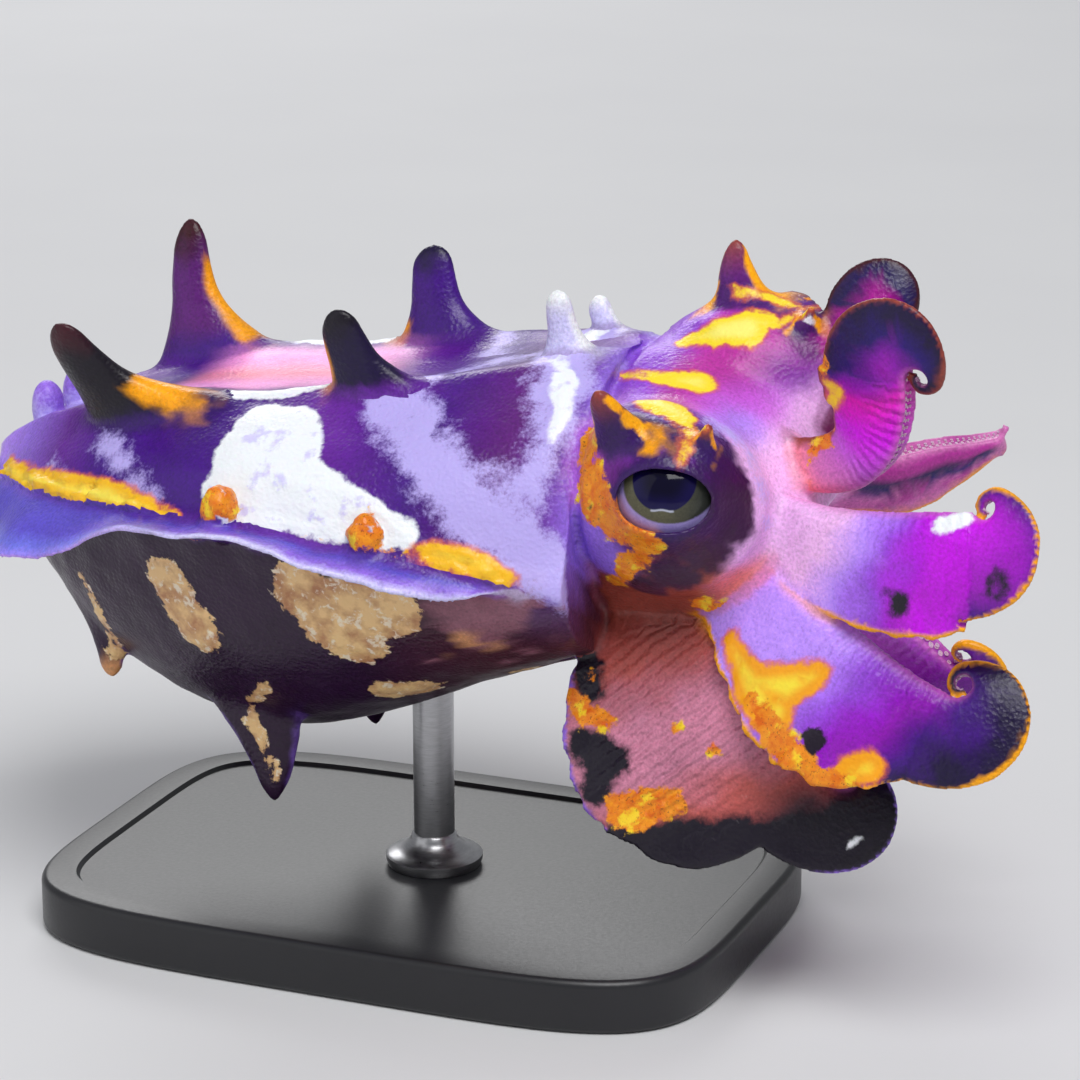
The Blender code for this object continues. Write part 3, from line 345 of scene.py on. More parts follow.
def curve_value(values, t):
    """Smoothly read equally spaced values at t between 0 and 1."""
    last = len(values) - 1
    place = min(max(t, 0.0), 1.0) * last
    k = min(int(place), last - 1)
    u = place - k
    p1, p2 = values[k], values[k + 1]
    p0 = values[k - 1] if k > 0 else p1 * 2 - p2
    p3 = values[k + 2] if k + 2 <= last else p2 * 2 - p1
    return 0.5 * (p1 * 2 + (p2 - p0) * u + (p0 * 2 - p1 * 5 + p2 * 4 - p3) * u * u
                  + (p1 * 3 - p0 - p2 * 3 + p3) * u * u * u)


def station_value(stations, x, column):
    """Read one column of an X-ordered station table, eased between rows."""
    for low, high in zip(stations, stations[1:]):
        if x <= high[0]:
            break
    k = stations.index(low)
    before = stations[max(k - 1, 0)]
    after = stations[min(k + 2, len(stations) - 1)]
    step = high[0] - low[0]
    u = (x - low[0]) / step
    slope_low = (high[column] - before[column]) / max(high[0] - before[0], 1e-6) * step
    slope_high = (after[column] - low[column]) / max(after[0] - low[0], 1e-6) * step
    return ((2 * u ** 3 - 3 * u ** 2 + 1) * low[column] + (u ** 3 - 2 * u ** 2 + u) * slope_low
            + (3 * u ** 2 - 2 * u ** 3) * high[column] + (u ** 3 - u ** 2) * slope_high)


def mantle_along(x):
    """Share of the mantle's length at x, 0 at the tail and 1 at the front."""
    return (x - MANTLE[0][0]) / (MANTLE[-1][0] - MANTLE[0][0])


def bump(value, centre, spread):
    return math.exp(-((value - centre) / spread) ** 2)


def mantle_point(x, degrees):
    """One point of the mantle's skin; degrees run round from the right side over the back."""
    t = mantle_along(x)
    half, top, belly = (station_value(MANTLE, x, column) for column in (1, 2, 3))
    side = min(max(curve_value(FIN_LINE_Z, t), belly + 1.0), top - 1.0)
    angle = math.radians(degrees)
    c, s = math.cos(angle), math.sin(angle)
    width = half * math.copysign(abs(c) ** 0.92, c)
    if s >= 0.0:
        crest = curve_value(CREST_Y, t) / max(half, 4.0)
        rise = bump(abs(c), crest, 0.13) * (CREST_HEIGHT - CREST_SADDLE * bump(x, -32.0, 7.0))
        rise -= bump(c, 0.0, 0.30) * DORSAL_DIP
        height = side + (top - side) * s ** 0.95
        height += rise * math.sin(math.pi * min(max(t, 0.0), 1.0)) ** 0.5
    else:
        height = side - (side - belly) * abs(s) ** 0.86
        width *= 1.0 - 0.05 * abs(s)
    knobs = 0.72 + 0.28 * math.cos(x * 0.72) * math.cos(x * 0.23 + 0.6)
    ridge = FIN_RIDGE * knobs * bump(degrees if degrees <= 180 else degrees - 360, 0.0, 6.5)
    ridge += FIN_RIDGE * knobs * bump(degrees, 180.0, 6.5)
    ridge *= min(1.0, half / 9.0)
    return Vector((x, -width, height)) + Vector((0.0, -math.copysign(ridge, c), 0.0))


def head_turn():
    """How the head is turned toward the right and rolled on the neck."""
    yaw = Matrix.Rotation(math.radians(HEAD_YAW_DEG), 3, "Z")
    return yaw @ Matrix.Rotation(math.radians(HEAD_ROLL_DEG), 3, "X")


def on_head(point, side=1):
    """A point of the head's own frame on its right (-1) or left (1) side."""
    pivot = Vector(HEAD_PIVOT)
    return pivot + head_turn() @ (Vector((point[0], point[1] * side, point[2])) - pivot)


def head_ahead():
    """The way the crown of arms faces."""
    pitch = Matrix.Rotation(math.radians(HEAD_CORE[-1][3]), 3, "Y")
    return head_turn() @ (pitch @ Vector((1, 0, 0)))


def circle(count):
    """Cosine and sine of every step round a circle."""
    return [(math.cos(2 * math.pi * c / count), math.sin(2 * math.pi * c / count)) for c in range(count)]


def head_rings(columns=84, steps=64):
    """The core of the head from neck to crown."""
    rings = []
    for k in range(steps):
        row = [curve_value([s[c] for s in HEAD_CORE], k / (steps - 1)) for c in range(6)]
        pitch = Matrix.Rotation(math.radians(row[3]), 3, "Y")
        rings.append([on_head(Vector(row[:3]) + pitch @ Vector((0.0, row[4] * c, row[5] * s)))
                      for c, s in circle(columns)])
    return rings


def flap_frame(base, tip):
    """Length, axis, broad way and thin way of a papilla."""
    axis = (Vector(tip) - Vector(base)).normalized()
    broad = (Vector((1, 0, 0)) - axis * axis.x).normalized()
    return (Vector(tip) - Vector(base)).length, axis, broad, axis.cross(broad).normalized()


def flap_rings(base, tip, widths, thickness, bend, flare=PAPILLA_FLARE, columns=40, steps=48):
    """A flattened papilla from its base to a rounded tip."""
    length, axis, broad, thin = flap_frame(base, tip)
    rings = []
    for k in range(steps):
        t = (k / (steps - 1)) ** 0.85
        foot = flare * max(0.0, 1 - t * 1.7) ** 2
        width = widths[0] + (widths[1] - widths[0]) * t ** 0.8
        width += widths[0] * foot
        depth = thickness * (1 - t + 0.5 * foot) + 1.3 * t
        end = max(math.sqrt(max(0.0, 1 - max(0.0, (t - 0.82) / 0.18) ** 2)), 0.12)
        centre = Vector(base) + axis * (length * t) - broad * (bend * math.sin(math.pi * t))
        rings.append([centre + broad * (c * width / 2 * end) + thin * (s * depth / 2 * end)
                      for c, s in circle(columns)])
    return rings


def arm_frame(spec, straight=64, curled=72):
    """Stations of one arm: point on the oral edge, tangent, aboral way, width, half thickness."""
    path, hub, aboral, widths, core, turns = spec
    path, aboral = [Vector(p) for p in path], Vector(aboral)
    normal = (path[-1] - path[1]).cross(aboral).normalized()
    stations = []
    for k in range(straight):
        t = k / (straight - 1)
        ahead = curve_value(path, min(t + 0.01, 1)) - curve_value(path, max(t - 0.01, 0))
        stations.append([curve_value(path, t), ahead.normalized(), curve_value(widths, t),
                         core * (1.0 - 0.42 * t)])
    start = path[-1] - Vector(hub)
    start -= normal * start.dot(normal)
    radius = start.length
    one = start.normalized()
    two = normal.cross(one)
    if two.dot(stations[-1][1]) < 0:
        two = -two
    sweep = turns * 2 * math.pi
    fade = math.log(max(CURL_END_RADIUS, radius * (1.0 - turns)) / radius) / sweep
    base = path[-1] - start
    for k in range(1, curled + 1):
        u = k / curled
        turn = sweep * u
        way = one * math.cos(turn) + two * math.sin(turn)
        travel = two * math.cos(turn) - one * math.sin(turn) + way * fade
        stations.append([base + way * (radius * math.exp(fade * turn)), travel.normalized(),
                         max(widths[-1] * curve_value(CURL_WIDTHS, u), TIP_WIDTH),
                         max(core * 0.58 * (1 - u * 0.95), TIP_CORE)])
    result = []
    for here, tangent, width, thick in stations:
        out = tangent.cross(normal).normalized()
        if out.dot(aboral) < 0 and len(result) < 12:
            out = -out
        if result and out.dot(result[-1][2]) < 0:
            out = -out
        result.append((here, tangent, out, width, thick))
    return result, normal


def eye_turn(side):
    """Turn that carries Z onto the outward look of one eye."""
    look = head_turn() @ Vector((EYE_LOOK[0], EYE_LOOK[1] * side, EYE_LOOK[2])).normalized()
    return look.to_track_quat("Z", "Y").to_matrix(), look


def mantle_rings():
    """Rings of the mantle, closer together toward the tail."""
    first, last = MANTLE[0][0], MANTLE[-1][0]
    rings = []
    for k in range(MANTLE_STEPS):
        t = k / (MANTLE_STEPS - 1)
        x = first + (last - first) * (0.5 - 0.5 * math.cos(math.pi * t * 0.92)) / (
            0.5 - 0.5 * math.cos(math.pi * 0.92))
        rings.append([mantle_point(x, 360.0 * c / MANTLE_COLUMNS) for c in range(MANTLE_COLUMNS)])
    return rings


def fin_rings(side):
    """Rings of one rippling fin, root to edge, from the front to the tail."""
    rings = []
    for k in range(FIN_STEPS):
        t = k / (FIN_STEPS - 1)
        x = FIN_FROM_X + (FIN_TO_X - FIN_FROM_X) * t
        root = mantle_point(max(x, MANTLE[0][0] + 0.1), 0.0) + Vector((0.0, 0.5, -0.2))
        width = (curve_value(FIN_WIDTH, t) + 0.6) * (0.25 + 0.75 * min(1.0, t / 0.09) ** 0.7)
        wave = math.sin(2 * math.pi * FIN_WAVES * t)
        droop = math.radians(curve_value(FIN_DROOP_DEG, t) + FIN_SWAY_DEG * wave)
        top, low = [], []
        for j in range(FIN_COLUMNS):
            u = j / (FIN_COLUMNS - 1)
            bend = droop * (0.55 + 0.45 * u)
            point = root + Vector((-0.25 * t * u, -math.cos(bend), -math.sin(bend))) * (width * u)
            point.z += (FIN_RIPPLE * 0.25 * wave + 0.05 * math.sin(t * 97.0)) * u * u
            half = FIN_THICKNESS / 2 * (1.3 - 0.5 * u)
            lift = Vector((0.0, -math.sin(bend), math.cos(bend))) * half
            top.append(point + lift)
            low.append(point - lift)
        ring = top + low[::-1]
        if side > 0:
            ring = [Vector((p.x, -p.y, p.z)) for p in reversed(ring)]
        rings.append(ring)
    return rings


def arm_rings(key, stations, normal):
    """Fine sections of one arm, its thin rim gently waved."""
    rings = []
    wave = RIM_WAVE.get(key, 0.1)
    run = 0.0
    for k, (here, tangent, out, width, thick) in enumerate(stations):
        if k:
            run += (here - stations[k - 1][0]).length
        keel = min(KEEL_HALF, thick)
        fade = min(1.0, k / 30.0) * min(1.0, (width / 9.0) ** 2)
        sway = wave * fade * (math.sin(run * 1.15) + 0.5 * math.sin(run * 2.3 + 1.0))
        reach = 0.5 * wave * fade * (math.sin(run * 1.9 + 2.0) + 0.6 * math.sin(run * 3.7))
        left, right = [], []
        for across, level, share in SECTION:
            half = keel * share + (thick - keel) * level
            spot = here + out * (across * width + reach * max(across, 0.0) ** 3)
            spot += normal * (sway * max(across, 0.0) ** 4)
            left.append(spot + normal * half)
            right.append(spot - normal * half)
        rings.append(left + right[-2:0:-1])
    return rings


def funnel_rings():
    """The funnel from its root to its rolled rim, and back down inside."""
    start, end = Vector(FUNNEL_FROM), Vector(FUNNEL_TO)
    axis = (end - start).normalized()
    side = axis.cross(Vector((0, 1, 0))).normalized()
    up = side.cross(axis)
    rings = []
    for k in range(FUNNEL_STEPS):
        t = k / (FUNNEL_STEPS - 1)
        radius = curve_value(FUNNEL_RADII, t)
        radius *= 1.0 + 0.05 * bump(t, 0.97, 0.05)
        rings.append([start.lerp(end, t) + side * (radius * c) + up * (1.15 * radius * s)
                      for c, s in circle(48)])
    for inset, depth in ((0.82, 0.12), (0.66, -0.3), (0.55, -1.6), (0.5, -4.2)):
        rings.append([end + axis * depth + (p - end) * inset for p in rings[FUNNEL_STEPS - 1]])
    return rings


def ball(centre, radii, turn=None, columns=64, rows=40):
    """Vertices and faces of a stretched ball."""
    turn = turn or Matrix.Identity(3)
    rings = []
    for row in range(rows + 1):
        a = math.pi * min(max(row / rows, 0.004), 0.996)
        rings.append([Vector(centre) + turn @ Vector((
            radii[0] * math.sin(a) * c, radii[1] * math.sin(a) * s, radii[2] * math.cos(a)))
            for c, s in circle(columns)])
    return loft(rings)


def loft(rings):
    """Vertices and faces of a closed skin over the rings."""
    count = len(rings[0])
    vertices = [tuple(p) for ring in rings for p in ring]
    faces = []
    for k in range(len(rings) - 1):
        for c in range(count):
            d = (c + 1) % count
            faces.append((k * count + c, k * count + d, (k + 1) * count + d, (k + 1) * count + c))
    faces.append(tuple(reversed(range(count))))
    faces.append(tuple((len(rings) - 1) * count + c for c in range(count)))
    return vertices, faces


def ring_body(centre, turn, radius, tube, around=72, across=18):
    """A closed ring round the Z of its turn."""
    vertices, faces = [], []
    for k, (cos_a, sin_a) in enumerate(circle(around)):
        step = ((k + 1) % around - k) * across
        for j, (cos_b, sin_b) in enumerate(circle(across)):
            r = radius + tube * cos_b
            vertices.append(tuple(centre + turn @ Vector((r * cos_a, r * sin_a, tube * sin_b))))
            p, q = k * across + j, k * across + (j + 1) % across
            faces.append((p, p + step, q + step, q))
    return vertices, faces


def link(piece):
    bpy.context.scene.collection.objects.link(piece)
    return piece


def new_piece(name, vertices, faces):
    """An object of the given mesh with its faces outward."""
    mesh = bpy.data.meshes.new(name)
    mesh.from_pydata(vertices, [], faces)
    edit = bmesh.new()
    edit.from_mesh(mesh)
    if edit.calc_volume(signed=True) < 0:
        bmesh.ops.reverse_faces(edit, faces=edit.faces)
    edit.to_mesh(mesh)
    edit.free()
    return link(bpy.data.objects.new(name, mesh))


def change(piece, kind, **settings):
    """Add a modifier with the given settings and apply it."""
    step = piece.modifiers.new(kind.lower(), kind)
    for key, value in settings.items():
        setattr(step, key, value)
    active(piece)
    bpy.ops.object.modifier_apply(modifier=step.name)


def active(piece):
    bpy.ops.object.select_all(action="DESELECT")
    piece.select_set(True)
    bpy.context.view_layer.objects.active = piece


def cut(piece, tool):
    """Take the tool's space out of the piece."""
    change(piece, "BOOLEAN", operation="DIFFERENCE", object=tool, solver="MANIFOLD")
    mesh = tool.data
    bpy.data.objects.remove(tool, do_unlink=True)
    bpy.data.meshes.remove(mesh)


def eye_opening(side):
    """The long space between the two lids, from behind the lid to in front of it."""
    turn, look = eye_turn(side)
    rings = []
    for step in range(9):
        foot = on_head(EYE_AT, side) + look * (EYE_RADIUS * (0.3 + 1.3 * step / 8))
        ring = []
        for c, s in circle(72):
            high = LID_OPENING[1] * s - LID_OPENING_DROP
            high -= LID_HOOD * max(0.0, s)
            ring.append(foot + turn @ Vector((LID_OPENING[0] * math.copysign(abs(c) ** 0.95, c), high, 0.0)))
        rings.append(ring)
    return loft(rings)


def head_form():
    """Head, domes, lids and head papillae as overlapping bodies, hollowed for both eyes."""
    forms = [loft(head_rings())]
    for side in (-1, 1):
        forms.append(ball(on_head(DOME_AT, side), DOME_RADII, head_turn()))
        for base, tip, *widths, thick, bend in HEAD_PAPILLAE:
            forms.append(loft(flap_rings(on_head(base, side), on_head(tip, side), widths, thick, bend,
                                         HORN_FLARE)))
    pieces = [new_piece("head", *form) for form in forms]
    for piece in pieces:
        for side in (-1, 1):
            if near_eye(piece, side):
                cut(piece, eye_ball("hollow", side, EYE_HOLLOW))
    for side in (-1, 1):
        lid = eye_ball("lid", side, GAP + LID_THICKNESS)
        cut(lid, new_piece("opening", *eye_opening(side)))
        cut(lid, eye_ball("hollow", side, EYE_HOLLOW))
        pieces.append(lid)
    return pieces


def eye_ball(name, side, more):
    """A ball round one eye, larger than it by the given mm."""
    return new_piece(name, *ball(on_head(EYE_AT, side), (EYE_RADIUS + more,) * 3, eye_turn(side)[0]))


def near_eye(piece, side):
    """Whether the piece comes near the ball of one eye."""
    centre, reach = on_head(EYE_AT, side), EYE_RADIUS + 1.0
    spots = [v.co for v in piece.data.vertices]
    return all(min(p[i] for p in spots) < centre[i] + reach
               and max(p[i] for p in spots) > centre[i] - reach for i in range(3))


def flesh_forms():
    """Every form of the flesh by part, as lists of lofted bodies."""
    forms = {"mantle": [loft(mantle_rings())]}
    for x, y, z, radius, rise in KNOBS:
        for side in (-1, 1):
            forms["mantle"].append(ball((x, y * side, z), (radius, radius, radius + rise), None, 32, 20))
    for name, base, tip, *widths, thick, bend in PAPILLAE + FLAPS:
        forms[name] = [loft(flap_rings(base, tip, widths, thick, bend, flare_of(name)))]
    for side, name in ((-1, "fin_right"), (1, "fin_left")):
        forms[name] = [loft(fin_rings(side))]
    forms["funnel"] = [loft(funnel_rings())]
    ahead, turn, lips = mouth_frame()
    crown = on_head(HEAD_CORE[-1][:3])
    radii = (MOUTH_RADIUS, MOUTH_RADIUS, MOUTH_RADIUS - LIP_SET)
    forms["mouth"] = [ball(crown + ahead * 0.2, radii, turn, 48, 30),
                      ring_body(lips, turn, LIP_RADIUS, LIP_TUBE)]
    for key, (stations, normal) in arm_lines.items():
        forms[key] = [loft(arm_rings(key, stations, normal))]
    return forms


def flare_of(name):
    return FLAP_FLARE if name.startswith("flap") else PAPILLA_FLARE


def mouth_frame():
    """The way the mouth faces, the turn that carries Z there, and the middle of the lips."""
    ahead = head_ahead()
    return (ahead, ahead.to_track_quat("Z", "Y").to_matrix(),
            on_head(HEAD_CORE[-1][:3]) + ahead * (MOUTH_RADIUS - LIP_SET))


def grow_skin(forms, head_pieces):
    """One closed skin over every form, smoothed, without the voxel steps."""
    pieces = list(head_pieces)
    for name, bodies in forms.items():
        pieces += [new_piece(name, *body) for body in bodies]
    skin = pieces[0]
    active(skin)
    for piece in pieces:
        piece.select_set(True)
    bpy.ops.object.join()
    skin.name = skin.data.name = "skin"
    change(skin, "REMESH", mode="VOXEL", voxel_size=KNIT)
    drop_loose(skin)
    smooth(skin.data, SMOOTH_ROUNDS)
    return skin


def drop_loose(piece):
    """Keep only the largest connected body of the mesh."""
    mesh = piece.data
    ends = edge_ends(mesh)
    label = np.arange(len(mesh.vertices))
    while True:
        low = label.copy()
        np.minimum.at(low, ends[:, 0], label[ends[:, 1]])
        np.minimum.at(low, ends[:, 1], label[ends[:, 0]])
        low = low[low]
        low = low[low]
        if np.array_equal(low, label):
            break
        label = low
    kinds, counts = np.unique(label, return_counts=True)
    keep = label == kinds[counts.argmax()]
    if not keep.all():
        edit = bmesh.new()
        edit.from_mesh(mesh)
        bmesh.ops.delete(edit, geom=[v for v in edit.verts if not keep[v.index]], context="VERTS")
        edit.to_mesh(mesh)
        edit.free()


def edge_ends(mesh):
    ends = np.empty(len(mesh.edges) * 2, dtype=np.int32)
    mesh.edges.foreach_get("vertices", ends)
    return ends.reshape(-1, 2)


def places(mesh):
    spots = np.empty(len(mesh.vertices) * 3, dtype=np.float32)
    mesh.vertices.foreach_get("co", spots)
    return spots.reshape(-1, 3).astype(np.float64)


def put_places(mesh, spots):
    mesh.vertices.foreach_set("co", spots.astype(np.float32).ravel())
    mesh.update()


def neighbour_mean(spots, ends, count):
    """Mean place of each vertex's neighbours."""
    total = np.empty_like(spots)
    for axis in range(spots.shape[1]):
        total[:, axis] = np.bincount(ends[:, 0], spots[ends[:, 1], axis], len(spots))
        total[:, axis] += np.bincount(ends[:, 1], spots[ends[:, 0], axis], len(spots))
    return total / count[:, None]


def smooth(mesh, rounds, weight=None):
    """Even out the mesh without shrinking it; with a weight, melt only where it is high."""
    ends = edge_ends(mesh)
    count = np.maximum(np.bincount(ends.ravel(), minlength=len(mesh.vertices)), 1)
    spots = places(mesh)
    steps = SMOOTH_STEPS if weight is None else (MELT_STEP,)
    share = 1.0 if weight is None else weight[:, None]
    for _ in range(rounds):
        for step in steps:
            spots += step * share * (neighbour_mean(spots, ends, count) - spots)
    put_places(mesh, spots)


def thin_out(skin, target):
    """Bring the skin down to about the wanted number of triangles."""
    skin.data.calc_loop_triangles()
    change(skin, "DECIMATE", ratio=min(1.0, target / len(skin.data.loop_triangles)),
           use_collapse_triangulate=True)


def distances(spots, forms):
    """Distance from every spot to each part's form, and the form's nearest face."""
    table = {}
    for name, bodies in forms.items():
        reach = np.full(len(spots), FAR)
        face = np.full(len(spots), -1)
        for number, (vertices, faces) in enumerate(bodies):
            tree = BVHTree.FromPolygons(vertices, faces)
            box = np.array(vertices)
            inside = ((spots > box.min(0) - REACH) & (spots < box.max(0) + REACH)).all(1)
            for i in np.flatnonzero(inside):
                hit = tree.find_nearest(spots[i], REACH)
                if hit[0] is not None and hit[3] < reach[i]:
                    reach[i] = hit[3]
                    face[i] = hit[2] if number == 0 else -1
        table[name] = (reach, face)
    return table


def mesh_body(piece):
    """Vertices and faces of a finished object."""
    return [tuple(v.co) for v in piece.data.vertices], [tuple(f.vertices) for f in piece.data.polygons]


def noises(spots, scale):
    """Smooth noise at every spot, drawn out by the scale."""
    return np.array([noise.noise(Vector(s) * scale) for s in spots])


def ease(value, low, high):
    """0 below low, 1 above high, smooth between."""
    t = np.clip((value - low) / (high - low), 0.0, 1.0)
    return t * t * (3.0 - 2.0 * t)


def soften_joins(skin, table):
    """Melt the creases where papillae, flaps, fins and arms leave the body."""
    first = np.minimum(table["mantle"][0], table["head"][0])
    weight = np.zeros(len(first))
    for name, (reach, _) in table.items():
        if name not in ("mantle", "head"):
            weight = np.maximum(weight, 1.0 - np.maximum(first, reach) / FILLET)
    smooth(skin.data, FILLET_ROUNDS, np.clip(weight, 0.0, 1.0) ** 0.7)


def soften_head(skin, forms):
    """Melt the creases between the head's core, domes and lids, but not the lids' openings."""
    spots = places(skin.data)
    table = distances(spots, {str(k): [form] for k, form in enumerate(forms)})
    reach = np.sort(np.stack([row[0] for row in table.values()]), axis=0)
    weight = np.clip(1.0 - reach[1] / HEAD_FILLET, 0.0, 1.0) ** 0.5
    for side in (-1, 1):
        edge_of = distances(spots, {"opening": [eye_opening(side)]})["opening"][0]
        weight *= ease(edge_of, 0.5, 1.3)
    smooth(skin.data, HEAD_ROUNDS, weight)


def relief(skin, table, fields):
    """Unevenness of living skin, raised marks, and the groove round the mantle's front edge."""
    mesh = skin.data
    spots = places(mesh)
    normals = np.empty(len(mesh.vertices) * 3, dtype=np.float32)
    mesh.vertex_normals.foreach_get("vector", normals)
    mantle, head = table["mantle"][0], table["head"][0]
    lift = UNEVEN_HIGH * noises(spots, 0.20) + UNEVEN_LOW * noises(spots, 0.48)
    knobs = noises(spots, 0.85) + 0.6 * noises(spots, 1.7)
    lift *= np.where(np.minimum(mantle, head) < 0.5, 1.0, 0.5)
    on_mantle = 1.0 - ease(mantle, 0.2, 0.8)
    ridge = np.maximum(fields["yellow"], fields["orange"]) * on_mantle + (1 - on_mantle) * -FAR
    on_knob = np.full(len(spots), FAR)
    for x, y, z, radius, _ in KNOBS:
        for side in (-1, 1):
            on_knob = np.minimum(on_knob, np.linalg.norm(spots - (x, y * side, z), axis=1) - radius)
    ridge = ease(ridge, -0.5, 0.7) * (0.25 + 0.75 * ease(on_knob, 0.8, 2.0))
    lift += ridge * (RIDGE_RISE + 0.75 * knobs)
    lift += WHITE_RISE * ease(fields["white"], -0.2, 0.9) * on_mantle * (1.0 + 0.5 * knobs)
    lift += GOLD_RISE * ease(fields["gold"], -0.1, 0.4) * (1.0 + 1.2 * knobs)
    for name in ("right_3", "right_4", "left_3", "left_4", "right_2"):
        head = np.minimum(head, table[name][0])
    front = ease(spots[:, 0], -9.0, -5.0)
    lift -= GROOVE * front * (1.0 - ease(np.maximum(mantle, head), 0.1, 1.0))
    put_places(mesh, spots + normals.reshape(-1, 3) * lift[:, None])


# Tones of the skin, as red, green and blue from 0 to 255
TONES = {
    "black": (16, 9, 23), "ink": (24, 5, 52), "navy": (32, 17, 80), "indigo": (42, 16, 107),
    "purple": (68, 32, 123), "plum": (92, 40, 112), "violet": (103, 52, 146),
    "amethyst": (146, 86, 204), "magenta": (180, 74, 156), "fuchsia": (206, 50, 220),
    "orchid": (197, 110, 214), "pink": (246, 200, 246), "blush": (206, 129, 182),
    "rose": (253, 174, 230), "lavender": (190, 154, 250), "periwinkle": (127, 131, 225),
    "rust": (138, 70, 62), "brown": (72, 36, 48), "umber": (40, 17, 46), "maroon": (60, 18, 30),
    "amber": (252, 176, 60), "salmon": (236, 140, 130), "white": (250, 252, 255),
    "pearl": (216, 212, 252), "wine": (107, 46, 85), "haze": (150, 118, 214), "blue": (100, 89, 191),
    "clay": (176, 96, 92), "grape": (140, 24, 170), "crimson": (170, 20, 110), "hot": (206, 30, 170),
    "vivid": (184, 44, 210), "shell": (198, 136, 158), "mauve": (150, 104, 118),
    "mask": (50, 22, 84), "soot": (56, 24, 50), "tan": (214, 160, 120),
}


def tone(name):
    """A named tone as linear colour."""
    raw = np.array(TONES[name]) / 255.0
    return np.where(raw <= 0.04045, raw / 12.92, ((raw + 0.055) / 1.055) ** 2.4)


def blend(one, two, share):
    share = np.asarray(share)[..., None]
    return one * (1.0 - share) + two * share


def ramp(value, *stops):
    """Colours read from rows of place and tone."""
    tones = np.array([tone(name) for _, name in stops])
    marks = [place for place, _ in stops]
    return np.stack([np.interp(value, marks, tones[:, c]) for c in range(3)], -1)


# Tones laid on the flanks: tone, place, reach
MANTLE_PATCHES = (
    ("mauve", (-10.0, 19.1, -7.8), 2.4), ("mauve", (-8.0, 17.7, -9.9), 2.6),
    ("mauve", (-5.5, 18.9, -7.0), 2.8), ("mauve", (-3.4, 19.4, -4.8), 2.4),
    ("tan", (-8.9, 17.2, -10.8), 1.1), ("tan", (-7.3, 16.6, -11.3), 0.9),
    ("tan", (-11.3, 16.1, -12.8), 0.5), ("mauve", (0.0, 15.3, -4.9), 0.5),
    ("mauve", (-0.1, 18.1, -6.6), 0.5), ("mauve", (-1.9, 15.8, -10.4), 0.5),
    ("mauve", (-4.3, 14.9, -11.9), 0.6), ("mauve", (-7.1, 13.8, -13.5), 0.5),
    ("mauve", (-13.3, 15.8, -13.7), 0.5), ("mauve", (-1.3, 18.2, -2.4), 0.5),
)


def mantle_tint(spots):
    """Purple back, pink between the crests and near-black belly."""
    x, y, z = spots.T
    line = np.array([curve_value(FIN_LINE_Z, mantle_along(min(max(v, -63.0), 0.0))) for v in x])
    back = ramp(x, (-63, "lavender"), (-57, "haze"), (-52, "violet"), (-46, "purple"),
                (-34, "purple"), (-24, "violet"), (-14, "purple"), (-6, "plum"), (-2, "violet"), (0, "haze"))
    belly = ramp(x, (-60, "umber"), (-20, "umber"), (-8, "brown"), (0, "brown"))
    tint = blend(belly, back, ease(z - line, -1.6, -0.2))
    middle = (1.0 - ease(np.abs(y), 6.0, 9.5)) * ease(z, 2.0, 5.0)
    strip = middle * ease(x, -46, -41) * (1.0 - ease(x, -28, -21))
    tint = blend(tint, blend(tone("rose"), tone("salmon"), np.exp(-(y / 3.0) ** 2) * 0.6), strip)
    front = ease(x, -8, -2) * (1.0 - ease(z, 2.0, 7.0)) * ease(z, -12.0, -5.0)
    tint = blend(tint, tone("haze"), front * 0.2)
    wander = noises(spots, 0.7)
    for name, place, reach in MANTLE_PATCHES:
        gap = np.linalg.norm(np.stack((x, np.abs(y), z), 1) - place, axis=1)
        tint = blend(tint, tone(name), ease(reach - gap + 0.8 * wander, -0.4, 0.5) * 0.85)
    return tint


# Tones laid on the head: tone, place, reach
HEAD_PATCHES = (
    ("amethyst", (0.5, -1.1, 11.9), 4.0), ("amethyst", (-2.4, -3.4, 10.3), 3.5),
    ("amethyst", (0.1, 5.0, 12.4), 4.0), ("magenta", (8.3, -2.3, 11.1), 3.5),
    ("magenta", (12.2, 0.8, 13.6), 3.5), ("violet", (13.9, -0.1, 11.3), 2.6),
    ("orchid", (12.9, -2.4, 8.7), 2.6), ("orchid", (10.6, -4.8, 9.5), 2.6),
    ("lavender", (11.7, -6.7, 7.4), 2.2), ("pink", (15.3, -1.1, 6.8), 3.2),
    ("pink", (14.9, -6.7, 4.2), 3.4), ("pink", (15.2, -11.2, 0.1), 3.0),
    ("salmon", (13.4, -9.6, -5.9), 3.0), ("rust", (8.7, -10.4, -7.1), 3.2),
    ("clay", (2.5, -3.4, -12.3), 4.0), ("rust", (10.0, -6.2, -10.5), 3.2),
    ("rust", (10.6, -15.8, -1.7), 2.2), ("pink", (-3.6, -6.9, 7.7), 3.0),
    ("orchid", (-1.4, -13.8, 4.3), 2.6), ("haze", (0.9, -15.3, -1.2), 2.4),
    ("rust", (1.1, -9.9, -8.2), 3.4), ("violet", (8.2, -14.6, 8.4), 2.6),
    ("plum", (9.0, -18.0, 3.0), 3.6),
)


def head_spots(spots):
    """Spots in the head's own frame."""
    turn = np.array(head_turn().inverted())
    pivot = np.array(HEAD_PIVOT)
    return (spots - pivot) @ turn.T + pivot


